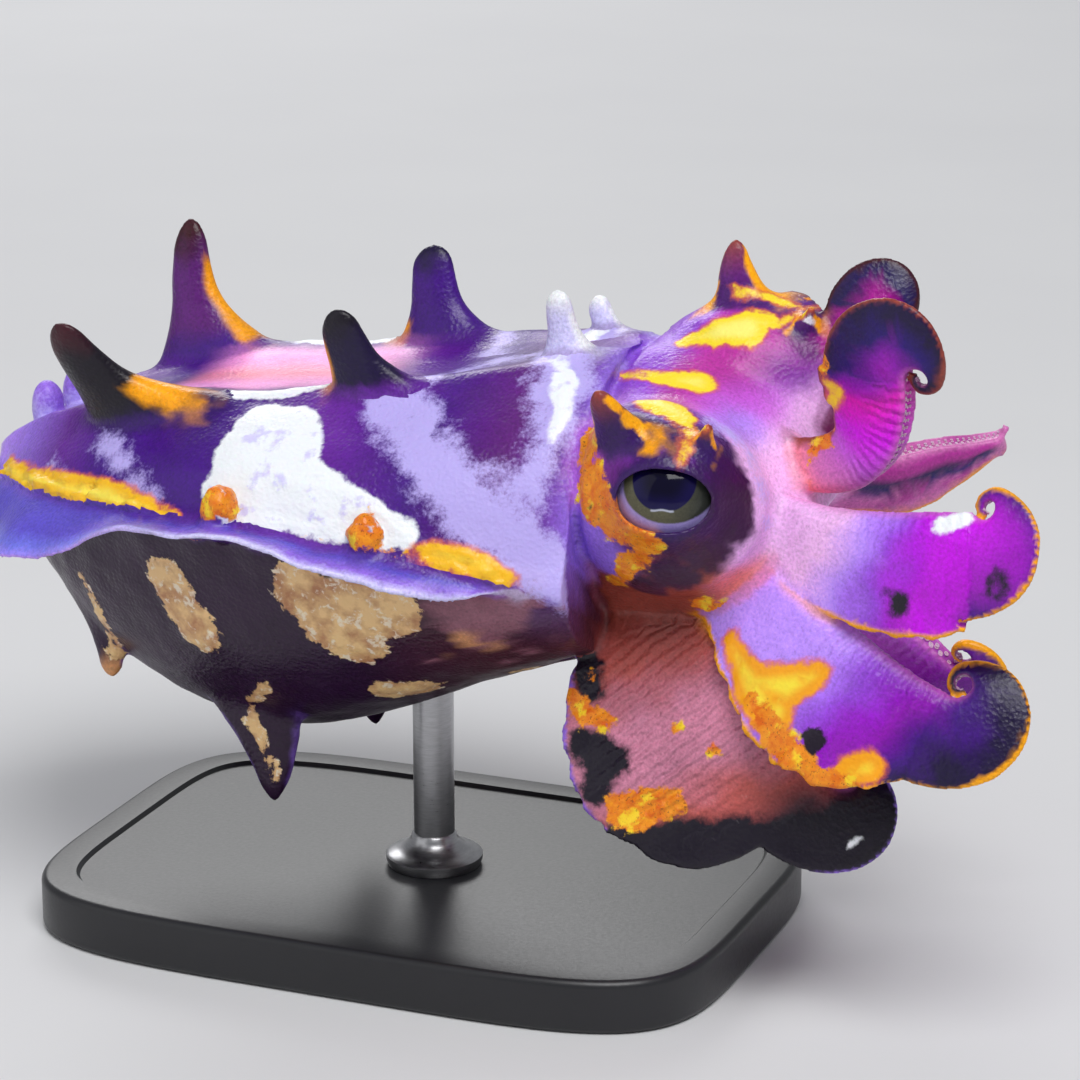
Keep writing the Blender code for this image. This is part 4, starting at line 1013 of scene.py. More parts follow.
# The dark mask round the eye: tone, place, reach
MASK = (
    ("mask", (4.0, -15.9, 9.0), 1.7), ("mask", (6.7, -15.6, 8.6), 2.5), ("mask", (9.4, -14.8, 9.2), 2.6),
    ("mask", (12.0, -13.9, 7.6), 2.7), ("soot", (13.6, -14.2, 4.6), 2.9),
    ("soot", (13.7, -14.3, 1.6), 2.7), ("soot", (12.0, -14.9, -1.4), 2.4),
    ("soot", (9.0, -15.4, -3.4), 2.4), ("soot", (6.4, -14.0, -5.4), 2.1),
    ("mask", (9.0, -18.0, 3.0), 5.0),
)


def head_gaps(rows, here, mirror):
    """Tone, reach and way to every spot for each row of patches, or for its mirror image."""
    for (name, _, reach), place in zip(rows, head_spots(np.array([row[1] for row in rows]))):
        yield tone(name), reach, here - place * (1, mirror, 1)


def head_tint(spots):
    """Tones of the right side, and the same ones mirrored on the left, with the eyes' masks."""
    here = head_spots(spots)
    total = np.full(len(spots), 1e-6)
    tint = np.outer(total, tone("magenta"))
    for mirror in (1, -1):
        side = 1.0 if mirror == 1 else ease(here[:, 1], 5.0, 9.0)
        for colour, reach, gap in head_gaps(HEAD_PATCHES, here, mirror):
            weight = side * np.exp(-(gap ** 2).sum(1) / (0.8 * reach) ** 2)
            tint += weight[:, None] * colour
            total += weight
    tint /= total[:, None]
    wander = noises(spots, 0.55) + 0.5 * noises(spots, 1.3)
    for mirror, cover in ((1, 1.0), (-1, 0.6)):
        deep = np.full(len(spots), -FAR)
        dark = np.zeros((len(spots), 3))
        mass = np.full(len(spots), 1e-6)
        for colour, reach, gap in head_gaps(MASK, here, mirror):
            gap = np.linalg.norm(gap, axis=1)
            deep = np.maximum(deep, reach - gap)
            weight = np.exp(-(gap / reach) ** 2)
            dark += weight[:, None] * colour
            mass += weight
        tint = blend(tint, dark / mass[:, None], cover * ease(deep + 0.7 * wander, -0.4, 0.5))
    return horn_tint(tint, spots)


# Tones along each arm from root to tip, the tone of its rim, and the rim's width in mm
ARM_TONES = {
    "right_1": (((0.0, "clay"), (0.2, "salmon"), (0.32, "blush"), (0.45, "orchid"), (0.58, "fuchsia"),
                 (0.72, "hot"), (0.80, "grape"), (0.86, "indigo"), (0.93, "ink")), "rust", 0.22),
    "left_1": (((0.0, "wine"), (0.45, "wine"), (0.60, "crimson"), (0.76, "hot"),
                (0.84, "navy"), (1.0, "ink")), "maroon", 0.3),
    "right_2": (((0.0, "orchid"), (0.15, "pink"), (0.40, "pink"), (0.50, "lavender"),
                 (0.60, "amethyst"), (0.72, "vivid"), (0.84, "vivid"), (0.93, "grape"),
                 (1.0, "purple")), "amber", 0.2),
    "right_3": (((0.0, "salmon"), (0.12, "blush"), (0.26, "lavender"), (0.50, "lavender"), (0.62, "amethyst"),
                 (0.74, "grape"), (0.84, "purple"), (0.92, "ink")), "amber", 0.16),
    "left_3": (((0.0, "periwinkle"), (0.4, "lavender"), (0.6, "orchid"), (0.8, "grape"),
                (1.0, "indigo")), "amber", 0.3),
    "right_4": (((0.0, "rust"), (0.16, "rust"), (0.3, "clay"), (0.42, "shell"), (0.6, "shell"),
                 (0.72, "clay"), (0.82, "brown"), (0.90, "black")), "haze", 0.10),
}
ARM_TONES["left_4"] = ARM_TONES["right_4"]


def arm_places(key, spots, face):
    """How far along (mm and share) and across (share and mm from the rim) each spot lies."""
    stations = arm_lines[key][0]
    here, ahead, out, width = (np.array([row[k] for row in stations]) for k in range(4))
    run = np.concatenate([[0.0], np.cumsum(np.linalg.norm(np.diff(here, axis=0), axis=1))])
    rows = np.clip(face // (2 * len(SECTION) - 2), 0, len(stations) - 1)
    gap = spots - here[rows]
    along = run[rows] + (gap * ahead[rows]).sum(1)
    across = (gap * out[rows]).sum(1)
    return along, along / run[-1], across / width[rows], width[rows] - across


def arm_tint(key, spots, face):
    _, share, across, rim = arm_places(key, spots, face)
    if key == "left_2":
        return leaf_tint(spots, share, across, rim)
    stops, edge, wide = ARM_TONES[key]
    wander = noises(spots, 0.35)
    tint = ramp(share + 0.05 * wander + 0.14 * (np.clip(across, 0, 1) - 0.4), *stops)
    tint = blend(tint, tone("blush"), (1.0 - ease(across, -0.02, 0.10)) * 0.6)
    return blend(tint, tone(edge), 1.0 - ease(rim + 0.15 * wander, wide, wide + 0.35))


def leaf_tint(spots, share, across, rim):
    """The left second arm, banded along its length: magenta, navy, pink, with an amber rim; the pink line
    just under the navy and indigo is a painted highlight along the ridge.
    """
    wander = noises(spots, 0.4)
    level = across + 0.10 * wander
    # The blush stop at 0.60 is a painted highlight along the arm's ridge.
    tint = ramp(level, (0.0, "blush"), (0.12, "magenta"), (0.24, "magenta"), (0.34, "navy"),
                (0.50, "indigo"), (0.60, "blush"), (0.70, "magenta"), (0.85, "blush"))
    tint = blend(tint, tone("blush"), 1.0 - ease(share + 0.1 * wander, 0.22, 0.42))
    tint = blend(tint, tone("amber"), 1.0 - ease(rim + 0.3 * wander, 0.2, 0.8))
    return blend(tint, tone("blush"), ease(share, 0.90, 0.97))


# Papillae and flaps: tone of the root, the body and the tip; lit edge (1 front, -1 rear), its
# tone, and where along the papilla it starts and ends
PAPILLA_TONES = {
    "papilla_rear_right": ("ink", "black", "maroon", 1, "amber", 0.05, 0.5),
    "papilla_rear_left": ("purple", "plum", "maroon", 1, "amber", 0.15, 0.75),
    "papilla_middle_right": ("violet", "ink", "black", -1, "amber", 0.15, 0.8),
    "papilla_middle_left": ("purple", "purple", "ink", -1, "amber", 0.0, 0.45),
    "papilla_front_right": ("pearl", "pearl", "white", 1, "white", 0.2, 0.8),
    "papilla_front_left": ("pearl", "pearl", "white", 1, "white", 0.2, 0.8),
    "flap_front": ("umber", "umber", "umber", 0, "haze", 0.2, 1.0),
    "flap_rear": ("umber", "umber", "tan", 0, "haze", 0.3, 1.0),
}


def on_papilla(spots, base, tip, wide, narrow, bend, flare):
    """Share along a papilla, across it (-1 to 1) and mm out of its plane, for every spot."""
    length, axis, broad, thin = flap_frame(base, tip)
    t = (spots - np.array(base)) @ np.array(axis) / length
    half = (wide + (narrow - wide) * np.clip(t, 0, 1) ** 0.8) / 2
    half += wide / 2 * flare * np.maximum(0.0, 1 - t * 1.7) ** 2
    mid = np.array(base) + np.outer(t * length, axis)
    mid -= np.outer(bend * np.sin(math.pi * np.clip(t, 0, 1)), broad)
    across = ((spots - mid) @ np.array(broad)) / np.maximum(half, 0.4)
    return t, across, (spots - mid) @ np.array(thin)


def papilla_tint(name, spots):
    spec = next(row for row in PAPILLAE + FLAPS if row[0] == name)
    t, across, _ = on_papilla(spots, Vector(spec[1]), Vector(spec[2]), spec[3], spec[4], spec[6],
                              flare_of(name))
    pair = name.rsplit("_", 1)[0]
    root, body, top, edge, lit, low, high = PAPILLA_TONES[name if name in PAPILLA_TONES else pair]
    wander = noises(spots, 0.6)
    tint = ramp(t + 0.08 * wander, (0.0, root), (0.2, root), (0.36, body), (0.72, body), (0.9, top))
    level = across * edge if edge else np.abs(across)
    start = 0.62 if edge else 0.78
    glow = ease(level + 0.12 * wander, start, start + 0.25)
    glow *= ease(t + 0.1 * wander, low - 0.05, low + 0.1) * (1 - ease(t + 0.1 * wander, high - 0.1, high))
    return blend(tint, tone(lit), glow * (0.95 if edge else 0.7))


def horn_tint(tint, spots):
    """The head's papillae: dark faces between amber edges."""
    wander = noises(spots, 0.9)
    for base, tip, wide, narrow, thick, bend in HEAD_PAPILLAE:
        for side in (-1, 1):
            t, across, off = on_papilla(spots, on_head(base, side), on_head(tip, side),
                                        wide, narrow, bend, HORN_FLARE)
            body = ramp(t, (0.2, "mask"), (0.6, "plum" if side > 0 else "mask"), (1.0, "rust"))
            level = np.abs(across) + 0.25 * wander
            body = blend(body, tone("amber"), ease(level, 0.80, 0.95) * (1 - ease(t, 0.9, 1.05)))
            mine = (1 - ease(np.abs(across), 1.15, 1.5)) * ease(t + 0.1 * wander, 0.16, 0.34)
            mine *= 1 - ease(np.abs(off), thick / 2 + 0.3, thick / 2 + 1.0)
            tint = blend(tint, body, mine)
    return tint


def fin_tint(spots, face):
    column = face % (2 * FIN_COLUMNS)
    u = np.clip(np.minimum(column, 2 * FIN_COLUMNS - 1 - column) / (FIN_COLUMNS - 1), 0, 1)
    tint = ramp(u, (0.0, "violet"), (0.4, "blue"), (0.75, "haze"), (0.95, "pearl"))
    back = ramp(u, (0.0, "blue"), (0.6, "blue"), (0.9, "periwinkle"), (1.0, "lavender"))
    return blend(tint, back, 1.0 - ease(spots[:, 0], -52, -30))


def part_tint(name, spots, face):
    """The tones of one part's skin."""
    if name == "mantle":
        return mantle_tint(spots)
    if name == "head":
        return head_tint(spots)
    if name.startswith("fin"):
        return fin_tint(spots, face)
    if name.startswith(("papilla", "flap")):
        return papilla_tint(name, spots)
    if name in arm_lines:
        return arm_tint(name, spots, face)
    if name == "funnel":
        return ramp(spots[:, 0], (0.0, "brown"), (8.0, "haze"))
    return np.tile(tone("blush"), (len(spots), 1))


# Cross wrinkles of the arms: share along from and to, share across from and to, height
WRINKLES = {"right_1": (0.40, 0.80, -0.1, 0.35, 0.9), "left_1": (0.4, 0.8, -0.1, 0.4, 0.5),
            "right_2": (0.5, 0.85, -0.1, 0.3, 0.3), "left_2": (0.3, 0.6, 0.2, 0.6, 0.1),
            "right_3": (0.45, 0.8, -0.1, 0.35, 0.6), "left_3": (0.45, 0.8, -0.1, 0.35, 0.5),
            "right_4": (0.22, 0.74, 0.05, 0.8, 1.0), "left_4": (0.22, 0.72, 0.1, 0.8, 0.8)}

# How amber, rather than lemon, the yellow marks of a part are
AMBER_SHARE = {"head": 0.0, "mantle": 0.55, "right_3": 0.9, "right_1": 0.35}
DEPTH_OF_COLOUR = 1.22
VECTOR = "FLOAT_VECTOR"
LAYERS = ("pale", "white", "gold", "yellow", "orange", "dark", "spot")


def capsule_field(spots, points):
    """How deep each spot lies inside a chain of capsules, in mm."""
    rows = [np.array(p, dtype=float) for p in points]
    best = np.full(len(spots), -FAR)
    for one, two in zip(rows, rows[1:] if len(rows) > 1 else rows):
        way = two[:3] - one[:3]
        size = max(float(way @ way), 1e-9)
        t = np.clip((spots - one[:3]) @ way / size, 0.0, 1.0)
        gap = np.linalg.norm(spots - one[:3] - t[:, None] * way, axis=1)
        best = np.maximum(best, one[3] + (two[3] - one[3]) * t - gap)
    return best


def mark_fields(spots, owner, names):
    """For each layer, how deep every spot lies in its marks, those of the unseen side mirrored."""
    fields = {layer: np.full(len(spots), -FAR) for layer in LAYERS}
    heads = head_spots(spots)
    for (layer, part), chains in MARKS.items():
        mine = [name.startswith(part) or name == "mantle" and part.startswith("flap") for name in names]
        index = np.flatnonzero(np.array(mine)[owner])
        for points in chains:
            near = capsule_field(spots[index], points)
            if part == "head":
                flat = head_spots(np.array([p[:3] for p in points]))
                flipped = [(*(place * (1, -1, 1)), p[3]) for place, p in zip(flat, points)]
                far = np.where(heads[index, 1] > 7.5, capsule_field(heads[index], flipped), -FAR)
                near = np.maximum(near, far) if flat[0][1] < 0 else near
            elif part in ("mantle", "flap_front", "flap_rear"):
                far = capsule_field(spots[index] * (1, -1, 1), points)
                near = np.where(spots[index, 1] > 2.0, far, near)
            fields[layer][index] = np.maximum(fields[layer][index], near)
    return fields


def paint(skin, spots, table, fields):
    """Write tint, mark depths and arm wrinkles into the skin's attributes."""
    names = list(table)
    reach = np.stack([table[name][0] for name in names], 1)
    nearest = reach.min(1)
    total = np.zeros(len(spots))
    tint, fold = np.zeros((2, len(spots), 3))
    for column, name in enumerate(names):
        weight = np.exp(-((reach[:, column] - nearest) / TONES_MEET) ** 2)
        index = np.flatnonzero((weight > 0.02) & (reach[:, column] < REACH))
        if not len(index):
            continue
        face = table[name][1][index]
        tint[index] += part_tint(name, spots[index], face) * weight[index, None]
        total[index] += weight[index]
        if name in arm_lines:
            along, share, across, _ = arm_places(name, spots[index], face)
            low, high, inner, outer, height = WRINKLES[name]
            wrinkle = height * ease(across, inner - 0.1, inner + 0.1)
            wrinkle *= 1 - ease(across, outer - 0.15, outer + 0.15)
            wrinkle *= ease(share, low - 0.08, low + 0.08) * (1 - ease(share, high - 0.08, high + 0.08))
            fold[index, 0] = np.where(weight[index] > 0.5, along, fold[index, 0])
            fold[index, 1] = np.maximum(fold[index, 1], wrinkle * weight[index])
    tint /= np.maximum(total, 1e-6)[:, None]
    grey = (tint @ np.array((0.3, 0.5, 0.2)))[:, None]
    tint = np.clip(grey + (tint - grey) * DEPTH_OF_COLOUR, 0.002, 1.0)
    nothing = np.zeros(len(spots))
    add_attribute(skin, "tint", "FLOAT_COLOR", "color", [*tint.T, nothing + 1.0])
    add_attribute(skin, "marks_a", VECTOR, "vector", [fields[k] for k in ("pale", "white", "gold")])
    add_attribute(skin, "marks_b", VECTOR, "vector", [fields[k] for k in ("yellow", "orange", "dark")])
    warm = np.array([AMBER_SHARE.get(name, 0.7) for name in names])[reach.argmin(1)]
    add_attribute(skin, "marks_c", VECTOR, "vector", [fields["spot"], warm, nothing])
    add_attribute(skin, "fold", VECTOR, "vector", fold.T)


def add_attribute(piece, name, kind, field, columns):
    """Write one number or several per vertex."""
    layer = piece.data.attributes.new(name, kind, "POINT")
    layer.data.foreach_set(field, np.stack(columns, 1).astype(np.float32).ravel())


# ---- materials


def blank(name, **values):
    """A new material with its node tree, its shader set to the values, and the place on the object."""
    made = bpy.data.materials.new(name)
    made.use_nodes = True
    tree = made.node_tree
    shader = tree.nodes["Principled BSDF"]
    for key, value in values.items():
        shader.inputs[key.replace("_", " ")].default_value = value
    return made, tree, shader, put(tree, "ShaderNodeTexCoord").outputs["Object"]


def put(tree, kind, inputs=None, **settings):
    """Add a node, give its settings, and set or link its inputs."""
    made = tree.nodes.new(kind)
    for key, value in settings.items():
        setattr(made, key, value)
    for key, value in (inputs or {}).items():
        if isinstance(value, bpy.types.NodeSocket):
            tree.links.new(value, made.inputs[key])
        else:
            made.inputs[key].default_value = value
    return made


def maths(tree, operation, one, two=0.0, three=None):
    values = {0: one, 1: two}
    if three is not None:
        values[2] = three
    return put(tree, "ShaderNodeMath", values, operation=operation).outputs[0]


def span(tree, value, low, high, start=0.0, end=1.0):
    """Carry a value from low..high to start..end."""
    return put(tree, "ShaderNodeMapRange", {"Value": value, "From Min": low, "From Max": high,
                                            "To Min": start, "To Max": end}).outputs[0]


def attribute(tree, name):
    """The three numbers of a vector attribute."""
    found = put(tree, "ShaderNodeAttribute", attribute_name=name).outputs["Vector"]
    return put(tree, "ShaderNodeSeparateXYZ", {0: found}).outputs


def bumped(tree, height, strength, distance, normal=None):
    """Bump of the given height (m) over another normal."""
    inputs = {"Strength": strength, "Distance": distance, "Height": height}
    if normal is not None:
        inputs["Normal"] = normal
    return put(tree, "ShaderNodeBump", inputs).outputs[0]


def finish(tree, shader, base, rough, normal):
    """Link a material's colour, roughness and normal."""
    tree.links.new(base, shader.inputs["Base Color"])
    tree.links.new(rough, shader.inputs["Roughness"])
    tree.links.new(normal, shader.inputs["Normal"])


def colour_mix(tree, share, one, two, mode="MIX"):
    """Mix two colours; tuples are set on the sockets."""
    made = put(tree, "ShaderNodeMix", {0: share, 6: one, 7: two}, data_type="RGBA", blend_type=mode)
    return made.outputs[2]


def rgb(red, green, blue):
    """A colour for a socket from red, green and blue between 0 and 255."""
    return (*(float((c / 255 / 12.92) if c <= 10.31 else ((c / 255 + 0.055) / 1.055) ** 2.4)
              for c in (red, green, blue)), 1.0)


LAYER_TONES = {
    "mark_pale": rgb(196, 182, 250), "mark_white": rgb(246, 250, 255),
    "gold_low": rgb(186, 128, 88), "gold_high": rgb(244, 204, 144),
    "glint": rgb(255, 246, 226), "fleck": rgb(120, 50, 26),
    "fringe": rgb(226, 104, 60), "lemon": rgb(255, 226, 44), "lemon_hot": rgb(255, 244, 120),
    "amber_hot": rgb(252, 160, 8), "orange_deep": rgb(226, 104, 10),
    "orange_light": rgb(248, 160, 30), "mark_dark": rgb(20, 11, 30),
    "mark_spot": rgb(26, 12, 34),
}


def grain(tree, place, scale, detail=4.0, roughness=0.55, distortion=0.0):
    return put(tree, "ShaderNodeTexNoise",
               {"Vector": place, "Scale": scale, "Detail": detail, "Roughness": roughness,
                "Distortion": distortion}).outputs["Fac"]


def edge(tree, field, wobble, width):
    """0 outside a mark and 1 inside it, its border moved by the wobble (mm)."""
    total = maths(tree, "ADD", field, wobble)
    made = put(tree, "ShaderNodeMapRange",
               {"Value": total, "From Min": -width, "From Max": width, "To Min": 0.0, "To Max": 1.0},
               interpolation_type="SMOOTHSTEP")
    return made.outputs[0]


def wobble(tree, noises, sizes):
    """Sum of centred noises, each times its size in mm."""
    total = None
    for level, size in zip(noises, sizes):
        part = maths(tree, "MULTIPLY", maths(tree, "SUBTRACT", level, 0.5), 2.0 * size)
        total = part if total is None else maths(tree, "ADD", total, part)
    return total


SKIN_GLOSS = {"Subsurface_Weight": 0.12, "Subsurface_Radius": (1.0, 0.45, 0.7), "Subsurface_Scale": 0.0009,
              "Specular_IOR_Level": 0.34, "Coat_Weight": 0.14, "Coat_Roughness": 0.18}


def lay(tree, under, over, field, border, width, share=None):
    """Lay a colour over another inside a mark, its border moved (mm) and softened by the width."""
    cover = edge(tree, field, border, width)
    if share is not None:
        cover = maths(tree, "MULTIPLY", cover, share)
    return colour_mix(tree, cover, under, over)


def skin_material():
    """Wet skin: tint, pigment grain, layered marks with broken borders, fine wrinkles."""
    made, tree, shader, place = blank("living_skin", **SKIN_GLOSS)
    tones = LAYER_TONES
    tint = put(tree, "ShaderNodeAttribute", attribute_name="tint").outputs["Color"]
    pale, white, gold = attribute(tree, "marks_a")
    yellow, orange, dark = attribute(tree, "marks_b")
    spot, warm = attribute(tree, "marks_c")[:2]
    broad = grain(tree, place, 140.0, 3.0)
    patchy = grain(tree, place, 420.0, 4.0, 0.6)
    ragged = grain(tree, place, 900.0, 5.0, 0.65, 0.4)
    fine = grain(tree, place, 3600.0, 3.0, 0.6)
    cells = put(tree, "ShaderNodeTexVoronoi", {"Vector": place, "Scale": 2500.0}, feature="F1").outputs[0]
    both = (patchy, ragged)
    # Pigment: slow drift of tone, then fine grains of colour cells
    shade = maths(tree, "MULTIPLY", span(tree, broad, 0.3, 0.7, 0.82, 1.16),
                  span(tree, fine, 0.35, 0.65, 0.86, 1.12))
    shade = maths(tree, "MULTIPLY", shade, span(tree, cells, 0.05, 0.45, 0.88, 1.03))
    grey = put(tree, "ShaderNodeCombineColor", {0: shade, 1: shade, 2: shade}).outputs[0]
    colour = colour_mix(tree, 1.0, tint, grey, "MULTIPLY")
    # Marks, from the softest to the sharpest
    soft = wobble(tree, (broad, patchy, fine), (2.4, 2.4, 1.1))
    uneven = wobble(tree, both, (1.3, 0.8))
    colour = lay(tree, colour, tones["mark_pale"], pale, soft, 1.0, 0.92)
    colour = lay(tree, colour, tones["mark_dark"], dark, uneven, 0.5)
    snow = lay(tree, tones["mark_white"], tones["mark_pale"], patchy, -0.60, 0.06, 0.6)
    colour = lay(tree, colour, snow, white, wobble(tree, both, (0.8, 0.3)), 0.22)
    plate = colour_mix(tree, span(tree, patchy, 0.34, 0.60), tones["gold_low"], tones["gold_high"])
    plate = lay(tree, plate, tones["glint"], ragged, -0.60, 0.05, 0.7)
    colour = lay(tree, colour, plate, gold, wobble(tree, both, (1.2, 1.1)), 0.13)
    loose = wobble(tree, both, (0.9, 0.4))
    colour = lay(tree, colour, tones["fringe"], maths(tree, "ADD", yellow, 0.30), loose, 0.3, 0.8)
    hot = colour_mix(tree, warm, tones["lemon"], tones["amber_hot"])
    glare = colour_mix(tree, warm, tones["lemon_hot"], tones["lemon"])
    colour = lay(tree, colour, lay(tree, hot, glare, yellow, -1.0, 0.6), yellow, loose, 0.24)
    flame = colour_mix(tree, span(tree, ragged, 0.36, 0.66), tones["orange_deep"], tones["orange_light"])
    flame = lay(tree, flame, tones["lemon"], patchy, -0.60, 0.05, 0.8)
    flame = lay(tree, flame, tones["fleck"], fine, -0.63, 0.04, 0.6)
    colour = lay(tree, colour, flame, orange, wobble(tree, both, (1.3, 1.0)), 0.2)
    colour = lay(tree, colour, tones["mark_spot"], spot, uneven, 0.25)
    finish(tree, shader, colour, span(tree, patchy, 0.3, 0.7, 0.28, 0.46),
           skin_bump(tree, patchy, cells, fine))
    return made


def skin_bump(tree, patchy, cells, fine):
    """Grain of the skin, leathery unevenness, and the arms' cross wrinkles."""
    run, weight = attribute(tree, "fold")[:2]
    phase = maths(tree, "ADD", maths(tree, "MULTIPLY", run, 6.4), maths(tree, "MULTIPLY", patchy, 9.0))
    waves = maths(tree, "MULTIPLY", maths(tree, "SINE", phase), weight)
    normal = bumped(tree, waves, 0.6, 0.00022)
    for height, strength, distance in ((patchy, 0.32, 0.0005), (cells, 0.4, 0.00012), (fine, 0.35, 0.00008)):
        normal = bumped(tree, height, strength, distance, normal)
    return normal


def plain_material(name, noise_of, low, high, gloss, strength, distance, relief=None, stretch=None,
                   deepen=None, **values):
    """Two tones mixed by a noise that also moves roughness and bump, the bump by another if given."""
    made, tree, shader, place = blank(name, **values)
    if stretch:
        place = put(tree, "ShaderNodeMapping", {"Vector": place, "Scale": (1.0, 1.0, stretch)}).outputs[0]
    soft = grain(tree, place, *noise_of)
    fine = grain(tree, place, *relief) if relief else soft
    base = colour_mix(tree, soft, rgb(*low), rgb(*high))
    if deepen:
        base = deepen(tree, base)
    finish(tree, shader, base, span(tree, soft if deepen else fine, 0.0, 1.0, *gloss),
           bumped(tree, fine, strength, distance))
    return made


def cup_shade(tree, base):
    """Painted shade: darken the hollow of each sucker."""
    level = put(tree, "ShaderNodeAttribute", attribute_name="level").outputs["Fac"]
    cup = edge(tree, maths(tree, "MULTIPLY", level, -1.0), 0.25, 0.2)
    return colour_mix(tree, maths(tree, "MULTIPLY", cup, 0.45), base, rgb(120, 60, 118))


# ---- eyes

PUPIL_CENTRE = (0.0, 0.24)
PUPIL_HALF = (0.51, 0.50)
PUPIL_NOTCH = (0.055, 0.13)
IRIS_CENTRE = (0.07, 0.14)
IRIS_HALF = (0.74, 0.58)
CORNEA_RISE = 0.16
CORNEA_REACH = 3.2


def make_eye(name, side):
    """A ball with a low clear bulge, shaped in edit mode, with its pupil and iris as fields."""
    bpy.ops.mesh.primitive_uv_sphere_add(segments=128, ring_count=96, radius=EYE_RADIUS + EYE_GROWTH)
    eye = named(name)
    choose(eye.data.vertices, lambda vertex: vertex.co.z > EYE_RADIUS * 0.985)
    bpy.ops.transform.translate(value=(0.0, 0.0, CORNEA_RISE), use_proportional_edit=True,
                                proportional_edit_falloff="SMOOTH", proportional_size=CORNEA_REACH)
    bpy.ops.object.mode_set(mode="OBJECT")
    spots = places(eye.data)
    x, y = spots[:, 0] / EYE_RADIUS * -side, spots[:, 1] / EYE_RADIUS
    behind = spots[:, 2] < 0
    pupil = oval(x, y, PUPIL_CENTRE, PUPIL_HALF) * min(PUPIL_HALF)
    pupil -= PUPIL_NOTCH[0] * np.exp(-(x / PUPIL_NOTCH[1]) ** 2) * (y < PUPIL_CENTRE[1])
    iris = oval(x, y, IRIS_CENTRE, IRIS_HALF) * 0.6
    pupil[behind] = iris[behind] = -1.0
    add_attribute(eye, "look", VECTOR, "vector", [pupil, iris, y * (1 - ease(np.abs(x), 0.12, 0.26))])
    add_attribute(eye, "lie", VECTOR, "vector", [x, y, np.zeros(len(spots))])
    turn = np.array(eye_turn(side)[0])
    put_places(eye.data, (spots @ turn.T + np.array(on_head(EYE_AT, side)) + np.array(AT)) * MM)
    all_smooth(eye)
    return eye


def oval(x, y, centre, half):
    """1 in the middle of an oval, 0 on its border."""
    return 1.0 - np.sqrt(((x - centre[0]) / half[0]) ** 2 + ((y - centre[1]) / half[1]) ** 2)


def named(name):
    """The piece just added, under its own name."""
    piece = bpy.context.object
    piece.name = piece.data.name = name
    return piece


def choose(parts, wanted):
    """Select only the wanted vertices or faces of the active piece, and stay in edit mode."""
    bpy.ops.object.mode_set(mode="EDIT")
    bpy.ops.mesh.select_mode(type="VERT" if isinstance(parts[0], bpy.types.MeshVertex) else "FACE")
    bpy.ops.mesh.select_all(action="DESELECT")
    bpy.ops.object.mode_set(mode="OBJECT")
    for part in parts:
        part.select = wanted(part)
    bpy.ops.object.mode_set(mode="EDIT")


def faces_up(face):
    return face.normal.z > 0.9


def eye_material():
    """Dark pupil with its pale lower lip, flecked iris, and the white round it."""
    made, tree, shader, place = blank("eye_wet", Specular_IOR_Level=0.3, Coat_Weight=0.14,
                                      Coat_Roughness=0.02, IOR=1.33)
    pupil, iris, height = attribute(tree, "look")
    streaks = grain(tree, place, 1500.0, 5.0, 0.7, 1.5)
    flecks = grain(tree, place, 5200.0, 3.0, 0.7)
    ring = colour_mix(tree, streaks, rgb(30, 32, 32), rgb(100, 98, 76))
    ring = colour_mix(tree, maths(tree, "MULTIPLY", flecks, 0.5), ring, rgb(124, 120, 92))
    dusk = span(tree, attribute(tree, "lie")[0], 0.05, 0.6)
    ring = colour_mix(tree, maths(tree, "MULTIPLY", dusk, 0.8), ring, rgb(34, 40, 44))
    white = colour_mix(tree, streaks, rgb(128, 104, 186), rgb(196, 184, 240))
    base = lay(tree, white, ring, iris, wobble(tree, (streaks,), (0.02,)), 0.02)
    depth = lay(tree, rgb(20, 14, 66), rgb(9, 6, 34), pupil, -0.16, 0.14)
    lip = edge(tree, maths(tree, "ADD", pupil, 0.030), wobble(tree, (streaks,), (0.008,)), 0.012)
    lip = maths(tree, "MULTIPLY", lip, span(tree, height, -0.10, -0.16))
    base = colour_mix(tree, maths(tree, "MULTIPLY", lip, 0.8), base, rgb(196, 200, 220))
    base = lay(tree, base, depth, pupil, wobble(tree, (streaks,), (0.01,)), 0.014)
    finish(tree, shader, base, span(tree, flecks, 0.0, 1.0, 0.05, 0.12),
           bumped(tree, streaks, 0.12, 0.00003))
    return made


# ---- suckers and beak

SUCKER_SIZES = (0.44, 0.42, 0.36, 0.26, 0.17)
SUCKER_ROWS = (-0.46, 0.16, -0.16, 0.46)
SUCKERS_FROM = 0.13
SUCKERS_TO = 0.965
SUCKER_STEP = 2.15
SUCKER_SCALE = {"right_1": 0.55, "left_2": 0.5, "left_1": 0.8, "right_3": 0.85}


def model_cup():
    """One sucker cup at unit radius, mouth up, as vertices and faces."""
    bpy.ops.mesh.primitive_cylinder_add(vertices=9, radius=0.78, depth=1.0, end_fill_type="NGON")
    cup = bpy.context.object
    choose(cup.data.polygons, faces_up)
    bpy.ops.transform.resize(value=(1.28, 1.28, 1.0))
    bpy.ops.mesh.inset(thickness=0.30)
    bpy.ops.mesh.inset(thickness=0.18, depth=-0.34)
    bpy.ops.object.mode_set(mode="OBJECT")
    body = [v.co.copy() for v in cup.data.vertices], [tuple(f.vertices) for f in cup.data.polygons]
    bpy.data.objects.remove(cup, do_unlink=True)
    return body


